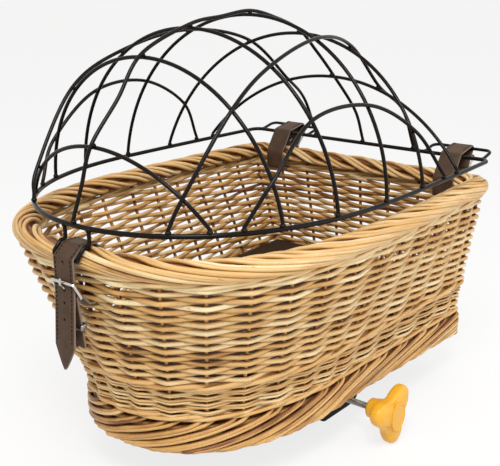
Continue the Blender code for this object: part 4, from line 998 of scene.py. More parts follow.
def flowing(knots, steps=12):
    """Points on a smooth curve that passes through all the knots."""
    knots = [Vector(knot) for knot in knots]
    ends = [2 * knots[0] - knots[1], *knots, 2 * knots[-1] - knots[-2]]
    points = []
    for a, b, c, d in zip(ends, ends[1:], ends[2:], ends[3:]):
        for i in range(steps):
            t = i / steps
            points.append(0.5 * (2 * b + (c - a) * t + (2 * a - 5 * b + 4 * c - d) * t ** 2
                                 + (3 * b - a - 3 * c + d) * t ** 3))
    points.append(knots[-1])
    return points


def rounded(corners, radius, cyclic=False, steps=8):
    """Points along straight runs whose corners are turned with a radius."""
    corners = [Vector(corner) for corner in corners]
    count = len(corners)
    points = []
    for i, corner in enumerate(corners):
        if not cyclic and i in (0, count - 1):
            points.append(corner)
            continue
        before = (corners[i - 1] - corner).normalized()
        after = (corners[(i + 1) % count] - corner).normalized()
        half = before.angle(after) / 2
        reach = radius / math.tan(half)
        centre = corner + (before + after).normalized() * (radius / math.sin(half))
        first = corner + before * reach - centre
        last = corner + after * reach - centre
        sweep = first.angle(last)
        for step in range(steps + 1):
            share = step / steps
            mixed = first * math.sin((1 - share) * sweep) + last * math.sin(share * sweep)
            points.append(centre + mixed / math.sin(sweep))
    return points


def with_feet(points):
    """A wire's points with a short upright stub at both ends, which stand on the ring."""
    drop = Vector((0.0, 0.0, FOOT_STUB))
    return [points[0] - drop, *points, points[-1] - drop]


def ring_foot(share, hand):
    """Top of a wire's stub on the ring's side, at a share of the ring's length."""
    return Vector((ring_x(share), hand * ring_half_width(share), FOOT_TOP_Z))


def steady_normals(line, closed):
    """Directions across a wire that turn with it and never twist round it."""
    line = np.asarray(line, float)
    tangent = tangents(line, closed)
    helper = np.array((0.0, 0.0, 1.0)) if abs(tangent[0][2]) < 0.9 else np.array((1.0, 0.0, 0.0))
    normal = helper - helper.dot(tangent[0]) * tangent[0]
    normals = []
    for direction in tangent:
        normal = normal - normal.dot(direction) * direction
        normal = normal / np.linalg.norm(normal)
        normals.append(normal)
    return np.array(normals)


def wire_piece(name, points, radius, closed=False):
    """A coated wire through points, which stands for the frame's node of the same name."""
    strands = Strands(WIRE_SIDES)
    strands.lay(points, steady_normals(points, closed), radius, radius, 0.5, closed)
    stand_for(strands.build(name + "_wire", MATERIALS["wire"]), "dome", SLOTS["wire"], name)


def add_bead(shape, place, size, stretch=(1.0, 1.0, 1.0)):
    """Add a round weld bead to a bmesh."""
    matrix = Matrix.Translation(place) @ Matrix.Diagonal((*stretch, 1.0))
    bmesh.ops.create_icosphere(shape, subdivisions=2, radius=size, matrix=matrix)


class BASKET_OT_bend_dome(bpy.types.Operator):
    """Bend the dome's wires and weld them where they meet"""

    bl_idname = "basket.bend_dome"
    bl_label = "Bend the Dome"

    def execute(self, context):
        beads = bmesh.new()
        bead = context.scene.basket_dome.weld_size
        ring_line = plan_line((0.0, 0.0, 0.0, 0.0), RING_CORNER, RING_FULLNESS)
        wire_piece("dome_ring", [(x, y, RING_Z) for x, y in ring_line], RING_WIRE, True)
        feet, crossings = [], []
        for i in range(len(HOOP_FOOT_X)):
            reach = hoop_arc(i)[-1]
            points = [on_hoop(i, reach * (1 - 2 * step / HOOP_STEPS)) for step in range(HOOP_STEPS + 1)]
            self.stand(f"dome_hoop_{i + 1}", points, feet)
        self.lay("dome_spine", *self.spine(), feet, crossings)
        for hand, word in HANDS:
            self.lay(f"dome_rail_{word}", *self.rail(hand), feet, crossings)
            self.lay(f"dome_arch_{word}", *self.arch(hand), feet, crossings)
            self.bend_hinge_loop(hand, word, beads, bead)
        self.bend_catch_loop(beads, bead)
        for foot in feet:
            place = Vector((foot.x, foot.y, RING_Z + RING_WIRE + bead * FOOT_BEAD_RISE))
            add_bead(beads, place, bead, FOOT_BEAD)
        for crossing in crossings:
            add_bead(beads, crossing + Vector((0.0, 0.0, HOOP_WIRE)), bead * CROSSING_BEAD)
        welds = as_object("weld_beads", mesh_of(beads, "weld_beads"), MATERIALS["wire"], 180.0)
        stand_for(welds, "dome", SLOTS["wire"])
        return {"FINISHED"}

    @staticmethod
    def stand(name, points, feet):
        """Bend a wire whose ends stand on the ring, and note where they stand."""
        feet.extend((points[0], points[-1]))
        wire_piece(name, with_feet(points), HOOP_WIRE)

    @classmethod
    def lay(cls, name, knots, crossed, feet, crossings):
        """Bend a wire over the hoops that it crosses, and note where it crosses them."""
        crossings.extend(knots[place] for place in crossed)
        cls.stand(name, flowing(laid_over(knots, crossed)), feet)

    @staticmethod
    def spine():
        """Knots of the middle wire, and the hoops that it lies over."""
        shares = sorted([(x, z, True) for x, z in zip(HOOP_CREST_X, HOOP_CREST_HEIGHT)]
                        + [(x, z, False) for x, z in SPINE_LOOSE_KNOTS])
        knots = [Vector((ring_x(0.0), 0.0, FOOT_TOP_Z))]
        knots += [Vector((ring_x(x), 0.0, RING_Z + DOME_HEIGHT * z)) for x, z, _ in shares]
        knots.append(Vector((ring_x(1.0), 0.0, FOOT_TOP_Z)))
        return knots, {place: Vector((0.0, 1.0, 0.0)) for place, share in enumerate(shares, 1) if share[2]}

    @staticmethod
    def rail(hand):
        """Knots of a long rail, and the hoops that it lies over."""
        x_share, spread, height = RAIL_BACK_KNOT
        knots = [Vector((ring_x(0.0), hand * RING_BACK_HALF_WIDTH * RAIL_BACK_FOOT, FOOT_TOP_Z)),
                 Vector((ring_x(x_share), hand * RING_BACK_HALF_WIDTH * spread,
                         RING_Z + DOME_HEIGHT * height))]
        angles = [math.asin(share * math.sin(hoop_arc(i)[-1])) for i, share in enumerate(RAIL_SPREAD)]
        knots += [on_hoop(i, angle, hand) for i, angle in enumerate(angles)]
        knots.append(ring_foot(RAIL_FRONT_FOOT_X, hand))
        return knots, {i + 2: along_hoop(i, angle, hand) for i, angle in enumerate(angles)}

    @staticmethod
    def arch(hand):
        """Knots of a low side arch, and the hoops that it lies over."""
        knots = [ring_foot(ARCH_BACK_FOOT_X, hand)]
        crossed = {}
        for i, share in enumerate(ARCH_HEIGHT, 1):
            rise, radius, _ = hoop_arc(i)
            angle = math.acos(1 - (rise - share * DOME_HEIGHT) / radius)
            crossed[i] = along_hoop(i, angle, hand)
            knots.append(on_hoop(i, angle, hand))
        knots.append(ring_foot(ARCH_FRONT_FOOT_X, hand))
        return knots, crossed

    @staticmethod
    def bend_hinge_loop(hand, word, beads, bead):
        """A wide loop on the ring's back, which a hinge strap holds."""
        start_x = RING_BACK_X + RING_WIRE + SEAT_GAP
        sides = [hand * HINGE_LOOP_Y + s * HINGE_LOOP_WIDTH / 2 for s in (-1, 1)]
        corners = [(start_x, sides[0], RING_Z), (HINGE_X, sides[0], HINGE_Z),
                   (HINGE_X, sides[1], HINGE_Z), (start_x, sides[1], RING_Z)]
        wire_piece(f"hinge_loop_{word}", rounded(corners, HINGE_LOOP_CORNER), HOOP_WIRE)
        for y in sides:
            add_bead(beads, Vector((start_x, y, RING_Z)), bead, HINGE_BEAD)

    @staticmethod
    def bend_catch_loop(beads, bead):
        """The loop at the front, which the closing strap passes over."""
        clear = HOOP_WIRE + 2 * SEAT_GAP
        over = BORDER_TOP + clear
        bar_u, bar_z = catch_bar()
        ring_u = -ring_x(1.0)
        leg = [(ring_u, RING_Z - RING_WIRE - SEAT_GAP), (ring_u, over + HOOP_WIRE),
               (ring_u + HOOP_WIRE, over), *border_shoulder(clear)]
        half = CATCH_LOOP_WIDTH / 2
        near = [Vector((-u, CLOSURE_Y - half, z)) for u, z in leg]
        far = [Vector((-u, CLOSURE_Y + half, z)) for u, z in reversed(leg)]
        bar = [(-bar_u, CLOSURE_Y - half, bar_z), (-bar_u, CLOSURE_Y + half, bar_z)]
        line = flowing(near[:-1], CATCH_STEPS) + rounded([near[-1], *bar, far[0]], CATCH_LOOP_CORNER)
        wire_piece("catch_loop", line + flowing(far[1:], CATCH_STEPS), HOOP_WIRE)
        for y in (CLOSURE_Y - half, CLOSURE_Y + half):
            add_bead(beads, Vector((-ring_u, y, RING_Z - RING_WIRE * CATCH_BEAD_DROP)), bead, CATCH_BEAD)


FRONT_BORDER_U = -ring_x(1.0) + BORDER_OFFSETS[0]
BACK_BORDER_U = RING_BACK_X + BORDER_OFFSETS[3]


def border_shoulder(clear):
    """The two corners of a line that clears the rim's outer shoulder, in (u, z)."""
    turn = clear * math.tan(math.pi / 8)
    return [(FRONT_BORDER_U + BORDER_FLAT_HALF + turn, BORDER_TOP + clear),
            (FRONT_BORDER_U + BORDER_HALF + clear, BORDER_MID_Z + BORDER_SIDE_RISE + turn)]


def catch_bar():
    """Middle of the catch loop's crossbar, just outside the rim, in (u, z)."""
    return (FRONT_BORDER_U + BORDER_HALF + HOOP_WIRE + 2 * SEAT_GAP,
            BORDER_MID_Z + (BORDER_TOP - BORDER_MID_Z) * (1 - 2 * CATCH_BAR_DROP))


# ---------------------------------------------------------------- straps

def arc(centre, radius, start_deg, end_deg, steps=10):
    """Points on an arc in (u, z); zero degrees points outward and ninety up."""
    points = []
    for i in range(steps + 1):
        angle = math.radians(start_deg + (end_deg - start_deg) * i / steps)
        points.append((centre[0] + radius * math.cos(angle), centre[1] + radius * math.sin(angle)))
    return points


def touch_deg(point, centre, radius, hand):
    """Angle at which a line from a point touches a circle round a centre."""
    reach = Vector(point) - Vector(centre)
    return math.degrees(math.atan2(reach[1], reach[0]) + hand * math.acos(radius / reach.length))


def front_face_u(z):
    """Distance of the wall's front face from the origin."""
    return SHELL.outline(z)[0][0] - ring_x(1.0)


def resampled(path, gap):
    """The same path with points no further apart than a gap, and its running length."""
    path = np.asarray(path, float)
    keep = [0]
    for i in range(1, len(path)):
        if np.linalg.norm(path[i] - path[keep[-1]]) > 1e-5:
            keep.append(i)
    path = path[keep]
    run = running(path)
    even = np.unique(np.concatenate([run, np.arange(0, run[-1], gap)]).round(7))
    even = even[np.concatenate([[True], np.diff(even) > 2e-4])]
    even[-1] = run[-1]
    return np.stack([np.interp(even, run, path[:, k]) for k in (0, 1)], 1), even


def strap_frame(path):
    """Outward directions along a strap's path in (u, z)."""
    tangent = tangents(path)
    return np.stack([tangent[:, 1], -tangent[:, 0]], 1)


def belt(name, path, side, middle_y, thickness, tip):
    """A strap with rounded edges and painted highlights on them, swept along a path in (u, z) to its pointed
    tip.
    """
    line, run = resampled(path, STRAP_STEP)
    normal = strap_frame(line)
    narrowing = np.clip((run[-1] - run) / tip, 0.0, 1.0) ** STRAP_TIP_POWER
    half = np.minimum(STRAP_WIDTH / 2, STRAP_WIDTH / 2 * narrowing + STRAP_TIP_HALF)
    edge = thickness / 2
    turned = [(math.cos(math.radians(angle)), math.sin(math.radians(angle)), edge_highlight)
              for angle, edge_highlight in STRAP_EDGE_TURNS]
    across = []
    for hand in (1, -1):
        across += [(hand, hand * out, hand * up, edge_highlight) for out, up, edge_highlight in turned]
        across += [(hand, hand * out, -hand * up, edge_highlight) for out, up, edge_highlight in reversed(turned)]
    ring = []
    for hand, out, up, _ in across:
        y = (half - edge * STRAP_EDGE) * hand + edge * STRAP_EDGE * out
        ring.append(np.column_stack([side * (line[:, 0] + normal[:, 0] * edge * up), middle_y + y,
                                     line[:, 1] + normal[:, 1] * edge * up]))
    mesh = swept_mesh(name, np.stack(ring, 1))
    # The tone is the share of painted highlight round each edge
    write_attribute(mesh, "tone", "FLOAT", np.tile([edge_highlight for *_, edge_highlight in across], len(line)))
    shape = bmesh.new()
    shape.from_mesh(mesh)
    bmesh.ops.recalc_face_normals(shape, faces=shape.faces)
    shape.to_mesh(mesh)
    shape.free()
    return as_object(name, mesh, MATERIALS["leather"], 35.0), line, run


def punch(thing, cutters):
    """Cut holes through a piece and leave none of the cutters behind."""
    for cutter in cutters:
        boolean = thing.modifiers.new("hole", "BOOLEAN")
        boolean.operation = "DIFFERENCE"
        boolean.object = cutter
    graph = bpy.context.evaluated_depsgraph_get()
    graph.update()
    holed = bpy.data.meshes.new_from_object(thing.evaluated_get(graph))
    thing.modifiers.clear()
    old, thing.data = thing.data, holed
    bpy.data.meshes.remove(old)
    for cutter in cutters:
        bpy.data.objects.remove(cutter)


def peg(place, radius, length):
    """A round cutter that lies along x."""
    shape = bmesh.new()
    turn = Vector((1.0, 0.0, 0.0)).to_track_quat("Z", "Y").to_matrix().to_4x4()
    bmesh.ops.create_cone(shape, cap_ends=True, segments=HOLE_SIDES, radius1=radius, radius2=radius,
                          depth=length, matrix=Matrix.Translation(place) @ turn)
    thing = bpy.data.objects.new("cutter", mesh_of(shape, "cutter"))
    bpy.context.scene.collection.objects.link(thing)
    return thing


STITCH_SIDES = 6
STITCH_POINTS = 7
STITCH_SHARE = 0.72
STITCH_SUNK = 0.00008
STITCH_RISE = 0.00028
STITCH_RADIUS = 0.00055
STITCH_THINNING = 0.45


def sew(name, line, run, side, middle_y, thickness, first, last, settings):
    """Sew two seams of small stitches on a strap's face, between two distances along it."""
    thread = Strands(STITCH_SIDES)
    normal = strap_frame(line)
    share = np.linspace(0, 1, STITCH_POINTS)
    rise = np.sin(math.pi * share)
    lift = STITCH_SUNK - thickness / 2 - STITCH_RISE * rise
    size = STITCH_RADIUS * (1 - STITCH_THINNING * (1 - rise))
    for hand in (-1, 1):
        y = middle_y + hand * (STRAP_WIDTH / 2 - settings.seam_inset)
        for k in range(int((last - first) / settings.stitch)):
            place = first + (k + share * STITCH_SHARE) * settings.stitch
            u, z = (np.interp(place, run, line[:, i]) + np.interp(place, run, normal[:, i]) * lift
                    for i in (0, 1))
            points = np.column_stack([side * u, np.full(STITCH_POINTS, y), z])
            thread.lay(points, (0.0, 1.0, 0.0), size, size, 0.5, seed=k * 0.1)
    stand_for(thread.build(name, MATERIALS["thread"]), "basket", SLOTS["leather"])


class BASKET_OT_cut_straps(bpy.types.Operator):
    """Cut the closing strap and the hinge straps, and sew and punch them"""

    bl_idname = "basket.cut_straps"
    bl_label = "Cut the Straps"

    def execute(self, context):
        settings = context.scene.basket_leather
        self.front(settings)
        for hand, word in HANDS:
            self.rear(settings, hand, word)
        return {"FINISHED"}

    @staticmethod
    def front(settings):
        """The closing strap round the rim and the catch loop's bar."""
        half = STRAP_THICKNESS / 2
        clear = SEAT_GAP + half
        bar = catch_bar()
        hang_u = bar[0] + HOOP_WIRE + clear
        fold = BUCKLE_WIRE + clear
        heel = (hang_u - half - clear - fold, FRONT_HEEL_Z)
        out_of_wall = (front_face_u(FRONT_SLOT_Z) + SLOT_STANDOFF, FRONT_SLOT_Z)
        leave, meet = touch_deg(FLAP_END, heel, fold, 1), touch_deg(out_of_wall, heel, fold, -1) % 360.0
        path = [FLAP_END, *arc(heel, fold, leave, meet, 16), out_of_wall]
        turn = half + STRAP_THICKNESS
        in_u = FRONT_BORDER_U - BORDER_HALF - clear
        path += arc((in_u + turn, FRONT_SLOT_Z + turn), turn, 270.0, 180.0)
        bevel = clear * math.tan(math.pi / 8)
        over_bar = arc(bar, HOOP_WIRE + clear, BAR_TURN_DEG, 0.0)
        corners = [path[-1], (in_u, BORDER_MID_Z + BORDER_SIDE_RISE + bevel),
                   (FRONT_BORDER_U - BORDER_FLAT_HALF - bevel, BORDER_TOP + clear), border_shoulder(clear)[0],
                   over_bar[0]]
        path += [tuple(p)[:2] for p in rounded([(*c, 0.0) for c in corners], SHOULDER_CORNER, False, 5)[1:]]
        path += over_bar
        path += [(hang_u, FRONT_BAR_Z), (hang_u + STRAP_LEAN * LEAN_AT_HEEL, FRONT_HEEL_Z),
                 (hang_u + STRAP_LEAN, RING_Z - STRAP_DROP)]
        strap, line, run = belt("closing_strap", path, -1, CLOSURE_Y, STRAP_THICKNESS, STRAP_TIP)
        cutters = [peg((-hang_u - max(0.0, -rise * HOLE_LEAN), CLOSURE_Y, FRONT_BAR_Z + rise), *STRAP_HOLE)
                   for rise in STRAP_HOLES_ABOVE_BAR]
        cutters.append(peg((-hang_u, CLOSURE_Y, (FRONT_HEEL_Z + FRONT_BAR_Z) / 2), *FRONT_PRONG_HOLE))
        punch(strap, cutters)
        stand_for(strap, "basket", SLOTS["leather"], "front_strap")
        start = run[np.argmax(line[:, 1])] - FRONT_SEAM_START
        sew("closing_strap_seams", line, run, -1, CLOSURE_Y, STRAP_THICKNESS, start, run[-1] - STRAP_TIP,
            settings)

    @staticmethod
    def rear(settings, hand, word):
        """A hinge strap round the rim, the ring's back wire and a hinge loop."""
        half = REAR_STRAP_THICKNESS / 2
        clear = SEAT_GAP + half
        middle_y = hand * HINGE_LOOP_Y
        slot_z = WALL_TOP - SLOT_BELOW_BORDER
        inner_u = BACK_BORDER_U + BORDER_HALF + clear
        fold = REAR_BUCKLE_WIRE + clear
        heel = (inner_u + fold, REAR_HEEL_Z)
        tail_u = heel[0] + fold + half + clear
        turn = half + REAR_STRAP_THICKNESS
        in_u = BACK_BORDER_U - BORDER_HALF - clear
        path = [(heel[0] + fold, REAR_HEEL_Z - REAR_FLAP)]
        path += arc(heel, fold, 0.0, 180.0)
        path += arc((inner_u - turn, slot_z + turn), turn, 0.0, -90.0)
        path += arc((in_u + turn, slot_z + turn), turn, 270.0, 180.0)
        path.append((in_u, BORDER_MID_Z + BORDER_SIDE_RISE))
        path += arc((RING_BACK_X, RING_Z), RING_WIRE + clear, *REAR_TURN_DEG)
        turn_over = HOOP_WIRE + clear
        fall = (HINGE_Z - REAR_BAR_Z) / (HINGE_Z - REAR_HEEL_Z)
        bar_u = (HINGE_X + turn_over) * (1 - fall) + tail_u * fall
        hinge = (HINGE_X, HINGE_Z)
        leave = touch_deg((bar_u, REAR_BAR_Z), hinge, turn_over, 1)
        path += arc(hinge, turn_over, REAR_TURN_DEG[1], leave)
        path += [(bar_u, REAR_BAR_Z), (tail_u, REAR_HEEL_Z + fold), (tail_u, REAR_TAIL_Z)]
        name = f"hinge_strap_{word}"
        strap, line, run = belt(name + "_leather", path, 1, middle_y, REAR_STRAP_THICKNESS, REAR_TIP)
        punch(strap, [peg((bar_u, middle_y, (REAR_HEEL_Z + REAR_BAR_Z) / 2), *REAR_PRONG_HOLE),
                      peg((tail_u, middle_y, REAR_HEEL_Z - REAR_HOLE_DROP), *REAR_TAIL_HOLE)])
        stand_for(strap, "basket", SLOTS["leather"], name)
        start = run[np.argmax(line[:, 1])] - REAR_SEAM_START
        sew(name + "_seams", line, run, 1, middle_y, REAR_STRAP_THICKNESS, start, run[-1] - REAR_TIP,
            settings)


# ---------------------------------------------------------------- clamp

def turns(steps):
    """Angles once round."""
    return [2 * math.pi * i / steps for i in range(steps)]


def lobe_radius(angle):
    """Radius of the knob's three-lobed outline at an angle."""
    wave = (1 + math.cos(3 * (angle - math.radians(KNOB_FIRST_LOBE_DEG)))) / 2
    return KNOB_CORE_RADIUS + (KNOB_RADIUS - KNOB_CORE_RADIUS) * wave ** KNOB_LOBE_POWER


class BASKET_OT_mould_knob(bpy.types.Operator):
    """Mould the three-lobed knob with its soft edges, its flared hub and its oval cap"""

    bl_idname = "basket.mould_knob"
    bl_label = "Mould the Knob"

    def execute(self, context):
        rows = []
        for offset, lobed, change in self.levels():
            radii = [(angle, lobe_radius(angle) * lobed + change) for angle in turns(KNOB_STEPS)]
            rows.append([(radius * math.cos(angle), KNOB_BACK_Y + offset, ROD_Z + radius * math.sin(angle))
                         for angle, radius in radii])
        knob = as_object("moulded_knob", swept_mesh("moulded_knob", rows), MATERIALS["knob"], 60.0)
        stand_for(knob, "screw", SLOTS["knob"], "clamp_knob")
        self.cap()
        return {"FINISHED"}

    @staticmethod
    def levels():
        """Offsets from the knob's back, shares of the lobed outline and changes of radius, hub first."""
        hub_end = KNOB_HUB_LENGTH - KNOB_HUB_CHAMFER
        quarter = [math.pi / 2 * i / 8 for i in range(9)]
        levels = [(KNOB_HUB_LENGTH, 0.0, KNOB_HUB_RADIUS - KNOB_HUB_CHAMFER), (hub_end, 0.0, KNOB_HUB_RADIUS)]
        levels += [(hub_end - (hub_end + KNOB_LOBES_FROM) * share, 0.0,
                    KNOB_HUB_RADIUS + KNOB_HUB_FLARE * share ** KNOB_HUB_FLARE_POWER)
                   for share in (i / 8 for i in range(1, 9))]
        levels += [(-KNOB_LOBES_FROM - KNOB_EDGE * (1 - math.cos(angle)), 1.0,
                    -KNOB_EDGE * (1 - math.sin(angle))) for angle in quarter]
        levels += [(-KNOB_LOBES_TO + KNOB_EDGE * (1 - math.sin(angle)), 1.0,
                    -KNOB_EDGE * (1 - math.cos(angle))) for angle in quarter]
        levels += [(-KNOB_LOBES_TO - (KNOB_FACE - KNOB_LOBES_TO) * math.sin(angle),
                    1.0 - KNOB_FACE_NARROWING * (1 - math.cos(angle)), -KNOB_EDGE * math.cos(angle))
                   for angle in (math.pi / 2 * i / 6 for i in range(1, 7))]
        return levels

    @staticmethod
    def cap():
        """The oval cap with a shallow rim, pressed into the knob's face."""
        face = KNOB_BACK_Y - KNOB_FACE
        points = [(share * CAP_HALF_WIDTH * math.cos(angle), face + rise,
                   ROD_Z + share * CAP_HALF_HEIGHT * math.sin(angle))
                  for share, rise in CAP_PROFILE for angle in turns(CAP_STEPS)]
        index = np.arange(len(points)).reshape(-1, CAP_STEPS)
        last, middle = index[-1].tolist(), len(points)
        faces = skin(index)[:-1] + [[a, b, middle] for a, b in zip(last, last[1:] + last[:1])]
        mesh = bpy.data.meshes.new("oval_cap")
        mesh.from_pydata([*points, (0.0, face + CAP_MIDDLE, ROD_Z)], [], faces)
        stand_for(as_object("oval_cap", mesh, MATERIALS["knob"], 40.0), "screw", SLOTS["knob"], "knob_cap")


class BASKET_OT_thread_rod(bpy.types.Operator):
    """Cut the clamp rod's screw thread"""

    bl_idname = "basket.thread_rod"
    bl_label = "Thread the Rod"

    def execute(self, context):
        low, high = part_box("clamp_rod")
        along = np.linspace(low.y, high.y, int((high.y - low.y) / (THREAD_PITCH / 10)) + 1)[:, None]
        turn = 2 * math.pi * np.arange(THREAD_SIDES) / THREAD_SIDES
        phase = (along / THREAD_PITCH + turn / (2 * math.pi)) % 1.0
        radius = ROD_RADIUS - THREAD_DEPTH * np.abs(2 * phase - 1)
        radius[[0, -1]] -= ROD_CHAMFER
        x, z = radius * np.cos(turn), ROD_Z + radius * np.sin(turn)
        mesh = swept_mesh("threaded_rod", np.stack([x, np.broadcast_to(along, x.shape), z], -1))
        mesh.flip_normals()
        rod = as_object("threaded_rod", mesh, MATERIALS["zinc"], 60.0)
        stand_for(rod, "screw", SLOTS["zinc"], "clamp_rod")
        return {"FINISHED"}


class BASKET_OT_coat_jaw(bpy.types.Operator):
    """Dip the lower half of the moving jaw in a thick round coat, below the rod"""

    bl_idname = "basket.coat_jaw"
    bl_label = "Coat the Jaw"

    def execute(self, context):
        low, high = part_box("clamp_jaw_moving")
        middle_y, half_x = (low.y + high.y) / 2, (high.x - low.x) / 2 - COAT_SHORT
        top, bottom = ROD_Z - ROD_RADIUS - COAT_BELOW_ROD, low.z - COAT_DROP
        quarter = [math.pi / 2 * i / COAT_EDGE_STEPS for i in range(COAT_EDGE_STEPS + 1)]
        rows = []
        for hand, angle in [(-1, angle) for angle in quarter] + [(1, angle) for angle in reversed(quarter)]:
            inset = COAT_EDGE * (1 - math.sin(angle))
            y = middle_y + hand * (JAW_SHEET / 2 + COAT_THICKNESS - COAT_EDGE * (1 - math.cos(angle)))
            x, up, down = half_x - inset, top - inset, bottom + inset
            corners = [(-x, y, up), (x, y, up), (x, y, down), (-x, y, down)]
            rows.append(rounded(corners, COAT_CORNER - inset, True, 6))
        coat = as_object("jaw_coat", swept_mesh("jaw_coat", rows), MATERIALS["enamel"], 40.0)
        stand_for(coat, "moving_jaw", SLOTS["enamel"])
        return {"FINISHED"}


class BASKET_OT_fold_keeper(bpy.types.Operator):
    """Fold the metal keeper round the closing strap's flap"""

    bl_idname = "basket.fold_keeper"
    bl_label = "Fold the Keeper"

    def execute(self, context):
        low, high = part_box("front_keeper")
        middle = (low + high) / 2
        half_x, half_y = (high.x - low.x) / 2 - KEEPER_SHEET, (high.y - low.y) / 2 - KEEPER_SHEET
        corners = [middle + Vector((x * half_x, y * half_y, x * KEEPER_TILT))
                   for x, y in ((-1, -1), (1, -1), (1, 1), (-1, 1))]
        keeper = Strands(12)
        line = rounded(corners, KEEPER_CORNER, True, 4)
        keeper.lay(line, (0.0, 0.0, 1.0), KEEPER_SHEET, KEEPER_HEIGHT / 2, 0.5, True)
        loop = keeper.build("strap_keeper", MATERIALS["dark_nickel"], 40.0)
        stand_for(loop, "basket", SLOTS["nickel"], "front_keeper")
        return {"FINISHED"}


class BASKET_OT_finish_metal(bpy.types.Operator):
    """Give the buckles, prongs and rivets and the clamp's steel parts their finishes"""

    bl_idname = "basket.finish_metal"
    bl_label = "Finish the Metal"

    def execute(self, context):
        finishes = {"nickel": ("front_buckle", "front_prong"),
                    "dark_nickel": ("strap_rivet", "hinge_buckle", "hinge_prong"),
                    "enamel": ("clamp_channel", "clamp_jaw"),
                    "zinc": ("clamp_bolt", "clamp_nut", "rod_lock_nut", "rod_collar", "jaw_nut")}
        for finish, starts in finishes.items():
            for node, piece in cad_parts.items():
                if node.startswith(starts):
                    piece.data.materials.clear()
                    piece.data.materials.append(MATERIALS[finish])
        return {"FINISHED"}


class BASKET_OT_lay_board(bpy.types.Operator):
    """Lay the dark floor board on the lower band's ledge"""

    bl_idname = "basket.lay_board"
    bl_label = "Lay the Floor Board"

    def execute(self, context):
        along = np.linspace(0, SHELL.girth, BOARD_POINTS, endpoint=False)
        top = BAND_TOP + BOARD_THICKNESS
        rows = []
        for z, grow in ((BAND_TOP, -BOARD_EDGE), (BAND_TOP + BOARD_EDGE, 0.0), (top - BOARD_EDGE, 0.0),
                        (top, -BOARD_EDGE)):
            line, _ = SHELL.at(along, BAND_TOP, grow - BOARD_INSET)
            line[:, 2] = z
            rows.append(line)
        board = as_object("dark_board", swept_mesh("dark_board", rows), MATERIALS["board"], 30.0)
        stand_for(board, "basket", SLOTS["board"], "floor_board")
        return {"FINISHED"}


# ---------------------------------------------------------------- stage

CAMERA_PLACE = (-0.8101, -0.6384, 0.4771)
CAMERA_AZIMUTH_DEG = -50.707
CAMERA_ELEVATION_DEG = 16.869
CAMERA_ROLL_DEG = -0.284
CAMERA_LENS_MM = 64.8
SENSOR_MM = 36.0
CAMERA_NEAR = 0.05
FLOOR_Z = -0.0546
FLOOR_SIZE = 12.0
FLOOR_GLOW = 0.8
LIGHT_TARGET = (-0.03, 0.0, 0.15)
KEY_PLACE = (-0.95, -0.75, 1.65)
KEY_SIZE = 0.7
FILL_PLACE = (0.6, -1.5, 0.7)
FILL_SIZE = 1.4
SKY_HEIGHTS = (-0.1, 0.9)
SKY_SHARES = (0.35, 2.2)
WHITE = (1.0, 1.0, 1.0, 1.0)


def area_light(name, place, power, size):
    """A soft square light that shines on the basket's middle."""
    lamp = bpy.data.lights.new(name, "AREA")
    lamp.energy = power
    lamp.size = size
    thing = bpy.data.objects.new(name, lamp)
    bpy.context.scene.collection.objects.link(thing)
    thing.location = place
    thing.rotation_mode = "QUATERNION"
    thing.rotation_quaternion = (Vector(LIGHT_TARGET) - Vector(place)).to_track_quat("-Z", "Y")


def shown_plain(tree):
    """1 for rays from the camera, straight, mirrored or through glass, and 0 for the light on the object."""
    rays = add_node(tree, "ShaderNodeLightPath").outputs
    seen = rays["Is Camera Ray"]
    for kind in ("Is Glossy Ray", "Is Transmission Ray"):
        seen = add_node(tree, "ShaderNodeMath", {"operation": "MAXIMUM"}, {0: seen, 1: rays[kind]}).outputs[0]
    return seen


